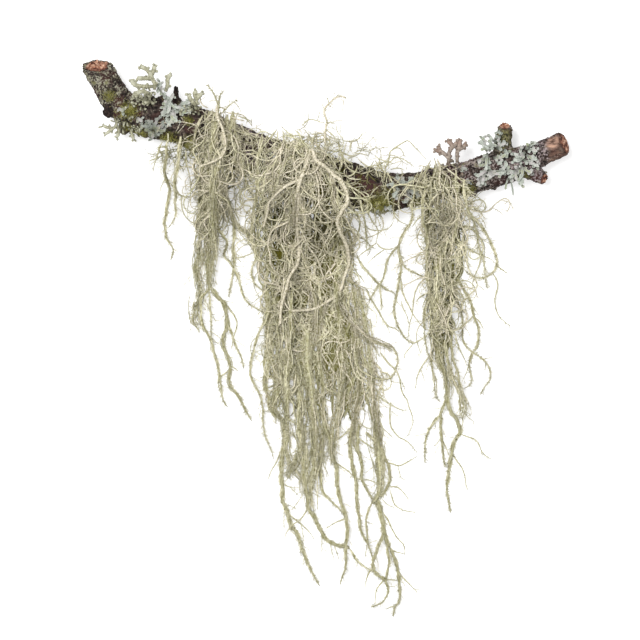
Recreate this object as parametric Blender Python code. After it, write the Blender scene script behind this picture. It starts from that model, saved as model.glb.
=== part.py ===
"""A lichen-covered twig, laid on its side, with its beards spread out flat below it.

The twig lies along X and the beards run towards -Y. Z is up from the surface it rests on.
Routes are traced over a flat view of the object and given in that view's pixels. place()
turns them into metres, so TWIG_SPAN alone sets the size. Heights are not traced: every
strand is laid on the surface, the twig and the strands already laid, and drapes from one
to the next.
"""

import math

import bmesh
import bpy
import numpy as np
from mathutils import Vector, noise

# Driving dimensions, in metres
TWIG_SPAN = 0.170
GAP = 0.0003
TWIG_STEP = 0.0045
TWIG_SIDES = 12
# How far the bark swells or sinks, as a share of the radius, and its waves per metre
BARK_RELIEF = 0.05
BARK_GRAIN = 260.0
# The steepest slope, in metres per metre, of limp strands and of stiff growths
FALL = 1.1
STIFF_FALL = 0.25
# How much closer a lock's facets are near its start, where it bends over the twig
FACET_LEAD = 1.25
# How finely a laid strand is sampled, the room that its bends need beside a straight slice,
# the height under which a corner rests at zero, and the shortfall that doesn't count when a
# strand is raised clear of what is under it
FINE_STEP = 0.0007
BEND_ROOM = 0.0007
REST_SNAP = 0.00006
HEIGHT_SLACK = 1e-9

# The flat view that the routes are traced on, in its pixels
TWIG_SPAN_PX = 486.0
CENTRE_PX = (325.0, 338.5)
PIXEL = TWIG_SPAN / TWIG_SPAN_PX

# Half width and half thickness at the start and at the end of each kind of strand, then
# the length of its facets and the number of its sides
KINDS = {
    "lock": ((0.0020, 0.0009), (0.0012, 0.0007), 0.0088, 5),
    "stem": ((0.0012, 0.0010), (0.0008, 0.0007), 0.0050, 5),
    "strand": ((0.0010, 0.0008), (0.0006, 0.0005), 0.0060, 4),
    "tip": ((0.0007, 0.0006), (0.0004, 0.0004), 0.0045, 3),
    "lobe": ((0.0017, 0.0007), (0.0014, 0.0006), 0.0034, 5),
    "tube": ((0.0014, 0.0013), (0.0010, 0.0010), 0.0034, 5),
}

BEARD = (0.47, 0.47, 0.30)
LEAF = (0.50, 0.56, 0.50)
TUBE = (0.48, 0.45, 0.36)
BROWN_TUBE = (0.30, 0.24, 0.20)
BARK = (0.10, 0.065, 0.055)

# The twig's centre line: pixel x, pixel y, radius in pixels, and the lift of that stretch
# above its resting height in metres
TWIG = [
    (95.5, 65.0, 13.6, 0.0072),
    (101, 74, 14.2, 0.0056),
    (108, 86, 14.6, 0.0038),
    (118, 101, 15.6, 0.0022),
    (133, 113, 17, 0.0009),
    (150, 118, 19, 0.0002),
    (185, 124, 21.3, 0.0),
    (220, 140, 22, 0.0),
    (250, 154, 22.5, 0.0),
    (285, 165, 22, 0.0),
    (320, 176, 21.5, 0.0),
    (350, 185, 21.5, 0.0),
    (376, 192, 20.5, 0.0),
    (410, 190, 17, 0.0),
    (437, 184, 16.5, 0.0003),
    (463, 179, 16.5, 0.0007),
    (490, 171, 17, 0.0012),
    (515, 164, 16, 0.0017),
    (535, 156.5, 13.5, 0.0023),
    (550, 149.5, 12.3, 0.0028),
    (564, 143.5, 12.2, 0.0032),
]
# Side stubs: start and end in pixels, start and end radius in pixels, rise in metres
STUBS = [
    ((501, 160), (505, 126.5), 11.0, 8.0, 0.0012),
    ((522, 168), (544, 178.5), 9.0, 6.2, 0.0),
]
# Buds and knots: centre in pixels, radius in pixels, height above the centre line in metres
KNOTS = [
    ((108, 112.5), 5.5, -0.0005),
    ((124, 129), 6.0, -0.0010),
    ((176, 97), 5.5, 0.0010),
    ((370, 173), 6.0, 0.0010),
    ((472, 191), 6.5, -0.0008),
    ((494, 184), 5.5, -0.0008),
    ((145, 133), 5.0, 0.0),
]

# Each growth: name, colour, how steeply it falls, and its strands in the order of growing.
# A later strand of the same growth starts on the nearest point of the earlier ones.
GROWTHS = [
    ("leaf_lichen_left_upper", LEAF, STIFF_FALL, [
        ("lobe", [(158, 86), (162, 93), (168, 100), (174, 107), (182, 108), (189, 109)]),
        ("lobe", [(166, 101), (165, 109), (162, 116)]),
        ("lobe", [(173, 108), (175, 116), (171, 122), (168, 126)]),
        ("lobe", [(178, 107), (184, 103), (190, 103)]),
        ("lobe", [(160, 91), (153, 93)]),
        ("lobe", [(161, 90), (160, 81)]),
    ]),
    ("leaf_lichen_left_lower", LEAF, STIFF_FALL, [
        ("lobe", [(141, 126), (147, 127), (153, 130), (160, 129), (165, 128)]),
        ("lobe", [(154, 130), (156, 124), (157, 119)]),
        ("lobe", [(156, 130), (160, 134), (163, 137)]),
        ("lobe", [(153, 130), (150, 136), (154, 140)]),
    ]),
    ("leaf_lichen_centre", LEAF, STIFF_FALL, [
        ("lobe", [(390, 186), (397, 186), (403, 188), (409, 192), (415, 194), (419, 198)]),
        ("lobe", [(401, 187), (399, 180), (396, 175)]),
        ("lobe", [(404, 189), (400, 195), (394, 197)]),
        ("lobe", [(410, 192), (408, 199), (404, 202)]),
        ("lobe", [(405, 188), (409, 182), (413, 177)]),
    ]),
    ("leaf_lichen_right_inner", LEAF, STIFF_FALL, [
        ("lobe", [(487, 150), (486, 158), (486, 165), (490, 171), (497, 174), (504, 175)]),
        ("lobe", [(487, 152), (482, 146), (480, 139)]),
        ("lobe", [(488, 151), (490, 143), (491, 136)]),
        ("lobe", [(486, 162), (479, 163)]),
        ("lobe", [(489, 170), (482, 174), (480, 182)]),
        ("lobe", [(496, 174), (501, 165), (503, 161)]),
    ]),
    ("leaf_lichen_right_outer", LEAF, STIFF_FALL, [
        ("lobe", [(527, 148), (525, 155), (522, 162), (520, 168), (513, 173), (510, 180)]),
        ("lobe", [(526, 151), (532, 146), (536, 143)]),
        ("lobe", [(524, 156), (517, 154), (513, 151)]),
        ("lobe", [(523, 160), (531, 164), (538, 166)]),
        ("lobe", [(521, 166), (523, 173), (520, 183)]),
        ("tip", [(511, 178), (512, 186), (513, 194)]),
    ]),
    ("tube_lichen_left", TUBE, STIFF_FALL, [
        ("tube", [(154, 84), (152, 78), (153, 73), (154, 68)]),
        ("tip", [(152, 78), (148, 72), (141, 68)]),
        ("tip", [(152, 80), (146, 79), (139, 79)]),
        ("tip", [(154, 84), (146, 87), (138, 86), (131, 81)]),
    ]),
    ("tube_lichen_left_lower", TUBE, STIFF_FALL, [
        ("tube", [(114, 121), (117, 125), (112, 130), (105, 135)]),
        ("tip", [(112, 129), (108, 128), (103, 126)]),
    ]),
    ("tube_lichen_grey", TUBE, STIFF_FALL, [
        ("tube", [(197, 107), (196, 101), (199, 96), (203, 93)]),
        ("tip", [(197, 99), (195, 95), (196, 92)]),
        ("tip", [(196, 104), (191, 99), (190, 95)]),
    ]),
    ("tube_lichen_brown", BROWN_TUBE, STIFF_FALL, [
        ("tube", [(447, 162), (452, 163), (458, 162)]),
        ("tube", [(448, 162), (449, 154), (452, 147), (448, 141)]),
        ("tip", [(449, 158), (442, 153), (435, 151)]),
        ("tube", [(457, 162), (457, 154), (459, 147), (460, 141)]),
        ("tip", [(459, 149), (463, 147), (466, 144)]),
    ]),
    ("beard_far_left_outer", BEARD, FALL, [
        ("lock", [(168, 135), (167, 154), (165, 172), (168, 184), (169, 197), (166, 211),
                  (165, 226), (168, 241), (172, 252), (170, 261)]),
        ("strand", [(166, 152), (160, 157), (155, 165), (153, 173)]),
        ("tip", [(172, 249), (178, 252)]),
    ]),
    ("beard_far_left_inner", BEARD, FALL, [
        ("lock", [(182, 138), (179, 162), (175, 186), (176, 205), (173, 221), (168, 230)]),
        ("strand", [(176, 180), (180, 194), (188, 197), (194, 194), (198, 178)]),
        ("strand", [(184, 196), (184, 209), (190, 220), (200, 225)]),
    ]),
    ("beard_left_back", BEARD, FALL, [
        ("lock", [(228, 112), (224, 140), (223, 165), (226, 192), (231, 210), (234, 228),
                  (233, 250), (233, 275), (228, 298)]),
        ("strand", [(232, 214), (240, 227), (249, 235), (258, 246)]),
        ("strand", [(225, 188), (221, 208), (223, 240), (230, 262), (238, 279), (246, 299),
                    (258, 310), (270, 317)]),
    ]),
    ("beard_left_outer", BEARD, FALL, [
        ("lock", [(208, 110), (205, 130), (203, 155), (202, 180), (201, 205), (202, 230),
                  (199, 250), (197, 270), (199, 287), (197, 303), (193, 315), (194, 325),
                  (199, 334)]),
        ("strand", [(205, 122), (198, 130), (195, 143), (192, 156)]),
        ("tip", [(199, 256), (194, 262), (189, 268)]),
    ]),
    ("beard_left_middle", BEARD, FALL, [
        ("lock", [(220, 103), (215, 122), (211, 148), (209, 178), (206, 208), (207, 240),
                  (208, 265), (210, 290)]),
        ("strand", [(210, 288), (203, 298), (201, 315), (207, 333), (214, 352), (219, 375),
                    (222, 398), (228, 408)]),
        ("strand", [(210, 287), (218, 297), (225, 312), (224, 335), (227, 355), (230, 370),
                    (231, 386), (240, 400), (252, 422)]),
        ("tip", [(223, 302), (234, 316), (236, 330), (231, 350)]),
        ("tip", [(225, 330), (237, 349), (244, 370)]),
        ("tip", [(229, 369), (219, 380), (222, 397)]),
    ]),
    ("beard_left_inner", BEARD, FALL, [
        ("lock", [(233, 110), (235, 128), (230, 150), (220, 170), (215, 195), (213, 230),
                  (212, 260), (212, 284)]),
        ("strand", [(235, 130), (240, 148), (243, 170), (248, 188), (256, 203)]),
    ]),
    ("beard_left_front", BEARD, FALL, [
        ("stem", [(217, 108), (220, 122), (226, 140), (223, 155), (212, 163), (199, 168)]),
        ("tip", [(217, 110), (215, 97), (208, 86)]),
        ("tip", [(219, 112), (221, 100), (225, 91)]),
        ("tip", [(220, 116), (230, 107), (238, 100)]),
    ]),
    ("beard_centre_left", BEARD, FALL, [
        ("lock", [(264, 136), (262, 160), (258, 190), (255, 215), (253, 240), (256, 262),
                  (262, 285), (268, 305), (269, 330), (268, 352), (266, 374), (265, 390),
                  (269, 404), (276, 417), (281, 430), (283, 447), (281, 466), (282, 485),
                  (283, 500), (287, 514), (294, 529), (301, 545), (306, 560), (313, 574),
                  (319, 587)]),
        ("lock", [(261, 160), (266, 190), (264, 218), (265, 245), (268, 268), (274, 292),
                  (276, 318), (275, 345), (278, 368), (277, 388), (276, 404), (283, 421),
                  (287, 436), (288, 455), (295, 470), (303, 481), (307, 496)]),
        ("tip", [(288, 514), (298, 522), (307, 530), (314, 540)]),
        ("tip", [(283, 484), (291, 487), (299, 496)]),
        ("tip", [(281, 450), (276, 462), (269, 474)]),
    ]),
    ("beard_centre_middle", BEARD, FALL, [
        ("lock", [(284, 131), (280, 150), (279, 175), (281, 200), (281, 228), (282, 255),
                  (284, 285), (286, 312), (285, 340), (287, 365), (288, 388), (287, 408),
                  (292, 428), (300, 444), (306, 462), (306, 482), (309, 503), (316, 520),
                  (325, 537), (337, 545), (350, 549), (357, 561), (369, 569), (385, 580)]),
        ("lock", [(300, 129), (298, 150), (292, 180), (293, 205), (296, 235), (299, 262),
                  (298, 290), (300, 318), (299, 345), (302, 368), (308, 388), (310, 412),
                  (311, 438), (313, 460), (313, 482), (310, 500)]),
        ("lock", [(312, 128), (311, 155), (308, 190), (310, 225), (313, 250), (315, 280),
                  (312, 305), (315, 335), (314, 365), (319, 390), (322, 415), (322, 440),
                  (322, 462), (322, 482), (332, 502), (347, 517)]),
        ("tip", [(310, 506), (303, 518), (291, 526), (284, 541)]),
        ("tip", [(322, 533), (322, 553)]),
        ("tip", [(332, 543), (338, 561)]),
    ]),
    ("beard_centre_right", BEARD, FALL, [
        ("lock", [(326, 131), (326, 155), (323, 185), (326, 215), (331, 240), (330, 265),
                  (328, 290), (330, 318), (328, 345), (330, 370), (334, 390), (335, 412),
                  (332, 432), (333, 452), (336, 468), (338, 488), (341, 503), (347, 518),
                  (347, 532), (346, 550), (345, 568), (340, 586)]),
        ("lock", [(338, 137), (338, 160), (337, 185), (338, 210), (339, 240), (341, 265),
                  (345, 290), (344, 318), (342, 345), (346, 370), (350, 392), (352, 415),
                  (352, 436), (351, 455), (354, 475), (356, 495), (358, 512), (362, 530),
                  (369, 546), (373, 562), (379, 575), (386, 581)]),
        ("strand", [(336, 464), (343, 468), (350, 473)]),
        ("tip", [(347, 519), (335, 523), (325, 529)]),
    ]),
    ("beard_centre_far_right", BEARD, FALL, [
        ("lock", [(352, 150), (353, 174), (353, 200), (353, 226), (355, 250), (358, 272),
                  (362, 295), (360, 322), (362, 348), (364, 372), (368, 394), (372, 415),
                  (375, 438), (379, 460), (380, 480), (378, 500), (382, 518), (385, 536),
                  (390, 551), (396, 566), (399, 582), (400, 597), (396, 607), (393, 618)]),
        ("lock", [(354, 260), (366, 288), (374, 310), (376, 335), (380, 358), (385, 378),
                  (386, 400), (382, 422), (382, 440), (387, 458), (390, 475), (386, 490),
                  (379, 500)]),
        ("strand", [(374, 430), (362, 441), (358, 452), (362, 470), (364, 484), (372, 497),
                    (379, 508)]),
        ("strand", [(384, 534), (378, 549), (373, 564), (367, 576), (366, 590)]),
        ("strand", [(388, 548), (389, 566), (388, 584), (386, 597), (378, 605), (369, 608)]),
        ("tip", [(372, 500), (366, 514), (366, 530), (369, 546)]),
        ("tip", [(399, 573), (408, 582), (417, 592)]),
        ("tip", [(387, 484), (398, 487), (409, 500)]),
        ("tip", [(384, 499), (394, 508), (405, 512), (418, 514)]),
        ("tip", [(385, 515), (392, 532), (404, 545), (404, 553)]),
        ("tip", [(389, 463), (400, 466), (417, 457)]),
    ]),
    ("beard_centre_front_left", BEARD, FALL, [
        ("stem", [(311, 150), (306, 165), (301, 179), (291, 184), (280, 191), (271, 201),
                  (267, 214), (263, 228)]),
        ("stem", [(304, 171), (298, 195), (297, 215), (299, 240), (299, 258), (293, 271),
                  (287, 286), (282, 305), (280, 325)]),
        ("strand", [(297, 219), (284, 224), (272, 231), (268, 244), (270, 264), (281, 275),
                    (287, 279)]),
    ]),
    ("beard_centre_front_right", BEARD, FALL, [
        ("stem", [(315, 150), (322, 164), (334, 175), (344, 187), (347, 201), (340, 215),
                  (338, 228), (345, 243), (349, 260), (345, 277), (336, 295), (322, 305),
                  (306, 310), (292, 311)]),
        ("strand", [(318, 160), (317, 180), (319, 204), (330, 219), (338, 222)]),
        ("strand", [(304, 205), (304, 233), (316, 257), (326, 281)]),
    ]),
    ("beard_centre_front_lower", BEARD, FALL, [
        ("strand", [(340, 296), (349, 312), (358, 327), (372, 341), (388, 346), (397, 356),
                    (396, 371), (388, 379), (372, 377), (359, 368), (354, 350)]),
        ("strand", [(392, 375), (399, 378), (402, 392), (409, 408), (413, 420), (410, 432),
                    (404, 439)]),
        ("strand", [(357, 366), (348, 378), (331, 390)]),
    ]),
    ("beard_centre_outlier_left", BEARD, FALL, [
        ("strand", [(268, 315), (259, 334), (252, 357), (252, 378), (261, 397), (264, 424),
                    (270, 447), (274, 461)]),
    ]),
    ("beard_centre_outlier_right", BEARD, FALL, [
        ("strand", [(383, 398), (392, 405), (402, 410), (391, 424), (397, 435), (409, 443),
                    (418, 454)]),
    ]),
    ("beard_right_left", BEARD, FALL, [
        ("lock", [(412, 168), (411, 190), (411, 210), (408, 227), (400, 242), (399, 260),
                  (400, 278), (397, 297), (395, 314), (400, 331), (409, 342)]),
        ("strand", [(394, 207), (397, 218), (408, 226)]),
        ("strand", [(400, 262), (408, 270), (426, 278), (417, 289), (412, 306), (409, 328)]),
        ("strand", [(400, 284), (407, 304), (417, 321), (428, 330)]),
        ("strand", [(399, 247), (389, 257), (382, 279), (373, 298)]),
        ("strand", [(366, 270), (379, 284), (392, 292), (398, 298)]),
    ]),
    ("beard_right_back", BEARD, FALL, [
        ("lock", [(426, 162), (425, 185), (425, 212), (427, 240), (428, 268), (428, 296),
                  (424, 314), (425, 332), (429, 352), (433, 370), (435, 388), (439, 402)]),
        ("strand", [(429, 352), (420, 369), (415, 390)]),
        ("strand", [(426, 330), (418, 342), (408, 349), (404, 360)]),
    ]),
    ("beard_right_middle", BEARD, FALL, [
        ("lock", [(440, 162), (441, 188), (444, 212), (441, 240), (440, 268), (438, 295),
                  (438, 322), (439, 345), (443, 368), (447, 388), (445, 404), (441, 418),
                  (442, 436), (444, 452), (446, 468)]),
        ("strand", [(443, 410), (434, 422), (427, 438), (425, 463)]),
        ("strand", [(446, 398), (452, 412), (458, 421), (460, 433), (453, 446), (449, 465),
                    (448, 490), (451, 514)]),
        ("strand", [(460, 433), (474, 438), (482, 450), (493, 460)]),
        ("tip", [(452, 452), (462, 468), (468, 492)]),
    ]),
    ("beard_right_inner", BEARD, FALL, [
        ("lock", [(455, 168), (457, 195), (458, 220), (456, 245), (453, 268), (451, 292),
                  (447, 315), (448, 338), (451, 360), (456, 380), (462, 396), (464, 410),
                  (460, 420)]),
        ("strand", [(453, 275), (458, 298), (463, 325), (466, 345), (480, 357), (490, 370),
                    (486, 386), (480, 396)]),
        ("strand", [(458, 250), (460, 275), (468, 296), (474, 316), (478, 334), (470, 360),
                    (472, 378), (463, 389)]),
    ]),
    ("beard_right_curl", BEARD, FALL, [
        ("stem", [(466, 174), (468, 197), (473, 214), (484, 231), (495, 250), (497, 264),
                  (489, 275), (478, 278), (465, 270)]),
        ("strand", [(476, 219), (478, 240), (484, 262), (488, 290)]),
        ("tip", [(497, 261), (503, 269), (510, 275)]),
        ("strand", [(492, 273), (498, 287), (495, 301), (502, 319), (513, 327)]),
    ]),
    ("loops_below_twig", BEARD, FALL, [
        ("strand", [(364, 213), (371, 223), (378, 232), (376, 243), (384, 249), (397, 246)]),
        ("tip", [(376, 243), (366, 251), (357, 258)]),
    ]),
    ("loops_above_twig", BEARD, STIFF_FALL, [
        ("strand", [(385, 172), (388, 160), (391, 151), (399, 146), (408, 141), (418, 151),
                    (425, 160)]),
        ("tip", [(380, 168), (376, 155), (367, 148), (358, 142), (352, 144)]),
    ]),
    ("top_sprig", BEARD, STIFF_FALL, [
        ("stem", [(327, 150), (328, 133), (326, 120), (325, 111), (331, 102), (341, 97)]),
        ("tip", [(327, 124), (318, 120), (309, 121), (303, 127)]),
        ("tip", [(326, 112), (322, 104)]),
    ]),
]


def place(x, y):
    """The place in metres of a pixel of the traced view."""
    return (x - CENTRE_PX[0]) * PIXEL, (CENTRE_PX[1] - y) * PIXEL


def smooth(points, step, lead=1.0):
    """Rows a step or so apart on a Catmull-Rom curve through rows of any width. A lead over
    1 sets them closer near the start and wider near the end."""
    rows = np.array(points, float)
    padded = np.vstack([2 * rows[0] - rows[1], rows, 2 * rows[-1] - rows[-2]])
    fine = []
    for i in range(1, len(rows)):
        a, b, c, d = padded[i - 1 : i + 3]
        for t in np.arange(0, 1, 0.1):
            fine.append(
                0.5 * (2 * b + (c - a) * t + (2 * a - 5 * b + 4 * c - d) * t * t
                       + (3 * b - a - 3 * c + d) * t**3)
            )
    fine = np.array([*fine, rows[-1]])
    run = np.concatenate([[0], np.cumsum(np.hypot(*np.diff(fine[:, :2], axis=0).T))])
    marks = run[-1] * np.linspace(0, 1, max(3, round(run[-1] / step) + 1)) ** lead
    return np.column_stack([np.interp(marks, run, column) for column in fine.T])


def walk(start, end):
    """Rows every FINE_STEP or so on the straight run between two rows of any width."""
    count = max(2, math.ceil(float(np.linalg.norm((end - start)[:3])) / FINE_STEP))
    shares = np.linspace(0, 1, count)[:, None]
    return start * (1 - shares) + end * shares


def heading(start, end):
    """The direction, seen from above, from one row to the next."""
    step = (end - start)[:2]
    return step / np.linalg.norm(step)


def material(name, colour, roughness):
    made = bpy.data.materials.get(name)
    if made is None:
        made = bpy.data.materials.new(name)
        made.use_nodes = True
        shader = made.node_tree.nodes["Principled BSDF"]
        shader.inputs["Base Color"].default_value = (*colour, 1.0)
        shader.inputs["Roughness"].default_value = roughness
        shader.inputs["Metallic"].default_value = 0.0
        made.diffuse_color = (*colour, 1.0)
    return made


def tube_mesh(name, centres, sizes, sides, relief=None):
    """A closed tube through the centres. sizes holds a half width and a half height for
    each centre. A side faces down, so that a tube lying on the surface rests on a face."""
    centres = np.asarray(centres, float)
    shape = bmesh.new()
    rings = []
    angles = [-math.pi / 2 + math.pi / sides + math.tau * k / sides for k in range(sides)]
    for i, centre in enumerate(centres):
        ahead = centres[min(i + 1, len(centres) - 1)] - centres[max(i - 1, 0)]
        ahead = Vector(ahead).normalized()
        side = ahead.cross(Vector((0, 0, 1))).normalized()
        up = side.cross(ahead)
        ring = []
        for angle in angles:
            grow = 1.0
            if relief is not None:
                grow = relief(centre, side * math.cos(angle) + up * math.sin(angle))
            width = sizes[i][0] * grow * math.cos(angle)
            height = sizes[i][1] * grow * math.sin(angle)
            point = Vector(centre) + side * width + up * height
            if point.z < REST_SNAP:
                point.z = 0.0
            ring.append(shape.verts.new(point))
        rings.append(ring)
    for ring, following in zip(rings, rings[1:]):
        for k in range(sides):
            after = (k + 1) % sides
            shape.faces.new((ring[k], ring[after], following[after], following[k]))
    shape.faces.new(rings[0])
    shape.faces.new(list(reversed(rings[-1])))
    bmesh.ops.recalc_face_normals(shape, faces=shape.faces)
    mesh = bpy.data.meshes.new(name)
    shape.to_mesh(mesh)
    shape.free()
    mesh.shade_smooth()
    return mesh


def knot_mesh(name, centre, radius):
    shape = bmesh.new()
    bmesh.ops.create_icosphere(shape, subdivisions=1, radius=radius)
    bmesh.ops.translate(shape, verts=shape.verts, vec=centre)
    mesh = bpy.data.meshes.new(name)
    shape.to_mesh(mesh)
    shape.free()
    mesh.shade_smooth()
    return mesh


def outer_skin(mesh):
    """Keeps only the largest connected surface: strands that cross can seal off a hollow."""
    shape = bmesh.new()
    shape.from_mesh(mesh)
    left = set(shape.verts)
    skins = []
    while left:
        front = [left.pop()]
        skin = list(front)
        while front:
            for edge in front.pop().link_edges:
                for vert in edge.verts:
                    if vert in left:
                        left.remove(vert)
                        skin.append(vert)
                        front.append(vert)
        skins.append(skin)
    skins.sort(key=len)
    bmesh.ops.delete(shape, geom=[v for skin in skins[:-1] for v in skin], context="VERTS")
    shape.to_mesh(mesh)
    shape.free()


def fuse(name, meshes, surface):
    """One object from meshes that overlap, joined into one closed body."""
    whole = bpy.data.objects.new(name + "_first", meshes[0])
    joined = bpy.data.collections.new(name + "_branches")
    bpy.context.scene.collection.objects.link(whole)
    bpy.context.scene.collection.children.link(joined)
    for mesh in meshes[1:]:
        joined.objects.link(bpy.data.objects.new(mesh.name, mesh))
    if len(meshes) > 1:
        union = whole.modifiers.new("union", "BOOLEAN")
        union.operation = "UNION"
        union.solver = "EXACT"
        union.operand_type = "COLLECTION"
        union.collection = joined
    mesh = bpy.data.meshes.new_from_object(
        whole.evaluated_get(bpy.context.evaluated_depsgraph_get())
    )
    for branch in [whole, *joined.objects]:
        bpy.data.objects.remove(branch)
    bpy.data.collections.remove(joined)
    outer_skin(mesh)
    mesh.name = name
    mesh.materials.clear()
    mesh.materials.append(surface)
    mesh.shade_smooth()
    bpy.context.scene.collection.objects.link(bpy.data.objects.new(name, mesh))


class Heap:
    """The twig and what has been laid so far, which the next growth comes to rest on."""

    def __init__(self, twig_line):
        self.line = twig_line
        self.laid = np.zeros((0, 6))

    def over_twig(self, x, y, half_width, way):
        """The lowest clear height over the twig, or 0 beside it, of a slice across a strand."""
        offsets = self.line[:, :2] - (x, y)
        away = np.hypot(*offsets.T)
        nearest = int(np.argmin(away))
        reach = self.line[nearest, 2] * (1 + BARK_RELIEF) + GAP
        turned = abs(way[0] * offsets[nearest, 1] - way[1] * offsets[nearest, 0])
        beside = away[nearest] - half_width * turned / max(away[nearest], FINE_STEP) - BEND_ROOM
        beside = max(beside, 0.0)
        if beside >= reach:
            return 0.0
        return self.line[nearest, 3] + math.sqrt(reach**2 - beside**2)

    def over_laid(self, x, y, half_width, way):
        """The lowest clear height over the strands under a slice across a strand."""
        if not len(self.laid):
            return 0.0
        right, up, laid_width, top, laid_right, laid_up = self.laid.T
        along = np.abs((right - x) * way[0] + (up - y) * way[1])
        across = np.abs((right - x) * way[1] - (up - y) * way[0])
        parallel = np.abs(laid_right * way[0] + laid_up * way[1])
        crossing = np.abs(laid_right * way[1] - laid_up * way[0])
        under = across < half_width + laid_width * parallel + BEND_ROOM
        under &= along < laid_width * crossing + BEND_ROOM
        return float(top[under].max()) + GAP if under.any() else 0.0

    def lay(self, route, sizes, sides, fall, start_height):
        """Heights for the points of a route, so that it clears all that is laid by as little
        as its straight facets allow. A branch leaves its stem at start_height."""
        heights = sizes[:, 1] * math.cos(math.pi / sides)
        rows = np.column_stack([route, np.zeros(len(route)), sizes])
        for i in range(len(rows) - 1):
            places = walk(rows[i], rows[i + 1])
            shares = np.linspace(0, 1, len(places))
            way = heading(rows[i], rows[i + 1])
            for share, (x, y, _, half_width, half_height) in zip(shares, places):
                under = max(self.over_twig(x, y, half_width, way),
                            self.over_laid(x, y, half_width, way))
                if under > 0:
                    needed = under + half_height * math.hypot(1, fall)
                    for weight, end in sorted([(1 - share, i), (share, i + 1)], reverse=True):
                        short = needed - heights[i] * (1 - share) - heights[i + 1] * share
                        if short > HEIGHT_SLACK:
                            room = max(needed - heights[end], 0.0)
                            heights[end] += min(short / weight, room)
        heights[0] = max(heights[0], start_height)
        run = np.concatenate([[0], np.cumsum(np.hypot(*np.diff(route, axis=0).T))])
        heights = (heights[None, :] - fall * np.abs(run[:, None] - run[None, :])).max(axis=1)
        if start_height:
            heights[0] = start_height
        return heights

    def add(self, centres, sizes):
        rows = np.column_stack([centres, sizes])
        for start, end in zip(rows, rows[1:]):
            lean = abs(end[2] - start[2]) / float(np.linalg.norm((end - start)[:2]))
            for x, y, z, half_width, half_height in walk(start, end):
                top = z + half_height * math.hypot(1, lean)
                self.laid = np.vstack([self.laid, (x, y, half_width, top, *heading(start, end))])


def twig_line():
    """Rows of x, y, radius and height along the twig's centre line, in metres."""
    rows = []
    for x, y, radius, lift in TWIG:
        across, along = place(x, y)
        rows.append((across, along, radius * PIXEL, radius * PIXEL * 0.965 + lift))
    return smooth(rows, TWIG_STEP)


def bark_relief(centre, outwards):
    """How much the bark swells or sinks at a place on the twig."""
    point = Vector(centre) * BARK_GRAIN + outwards * 1.3
    return 1.0 + BARK_RELIEF * max(-1.0, min(1.0, 2.0 * noise.noise(point)))


def build_twig(line):
    centres = line[:, [0, 1, 3]]
    sizes = np.repeat(line[:, 2:3], 2, axis=1)
    meshes = [tube_mesh("twig", centres, sizes, TWIG_SIDES, bark_relief)]
    for k, (start, end, start_radius, end_radius, rise) in enumerate(STUBS):
        nearest = line[int(np.argmin(np.hypot(*(line[:, :2] - place(*start)).T)))]
        low = Vector((*place(*start), nearest[3]))
        high = Vector((*place(*end), nearest[3] + rise))
        centres = [low.lerp(high, t) for t in (0, 0.5, 0.85, 1)]
        radii = [start_radius + (end_radius - start_radius) * t for t in (0, 0.5, 0.7, 1)]
        sizes = [(radius * PIXEL, radius * PIXEL) for radius in radii]
        meshes.append(tube_mesh(f"stub_{k + 1}", centres, sizes, 10, bark_relief))
    for k, (spot, radius, rise) in enumerate(KNOTS):
        nearest = line[int(np.argmin(np.hypot(*(line[:, :2] - place(*spot)).T)))]
        centre = Vector((*place(*spot), nearest[3] + rise))
        meshes.append(knot_mesh(f"knot_{k + 1}", centre, radius * PIXEL))
    fuse("twig", meshes, material("bark", BARK, 0.85))


def build_growth(heap, name, colour, fall, strands):
    meshes = []
    grown = np.zeros((0, 3))
    finished = []
    for k, (kind, points) in enumerate(strands):
        first, last, facet, sides = KINDS[kind]
        route = [place(*point) for point in points]
        start_height = 0.0
        if len(grown):
            nearest = grown[int(np.argmin(np.hypot(*(grown[:, :2] - route[0]).T)))]
            route[0] = tuple(nearest[:2])
            start_height = nearest[2]
        route = smooth(route, facet, FACET_LEAD if kind == "lock" else 1.0)
        shares = np.linspace(0, 1, len(route))[:, None]
        sizes = np.array(first) * (1 - shares) + np.array(last) * shares
        heights = heap.lay(route, sizes, sides, fall, start_height)
        centres = np.column_stack([route, heights])
        meshes.append(tube_mesh(f"{name}_{k + 1}", centres, sizes, sides))
        grown = np.vstack([grown, *(walk(a, b) for a, b in zip(centres, centres[1:]))])
        finished.append((centres, sizes))
    for centres, sizes in finished:
        heap.add(centres, sizes)
    fuse(name, meshes, material(f"surface_{name}", colour, 0.9))


def main():
    for thing in list(bpy.data.objects):
        bpy.data.objects.remove(thing)
    line = twig_line()
    build_twig(line)
    heap = Heap(line)
    for name, colour, fall, strands in GROWTHS:
        build_growth(heap, name, colour, fall, strands)


main()
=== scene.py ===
"""The looks of the lichen-covered twig: bark, leafy and tube lichens, moss and beards.

Routes and places are traced over a flat view from straight above and are given in its
pixels. at() turns them into metres. A route is written as its first place and the steps
that follow it. The beards keep to the heights of the CAD part's strands. The leafy and
tube lichens are laid on the bark and, past its edge, keep to the heights of their own CAD
pieces.
"""

import math

import bmesh
import bpy
import numpy as np
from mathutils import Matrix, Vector, noise
from mathutils.bvhtree import BVHTree


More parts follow.
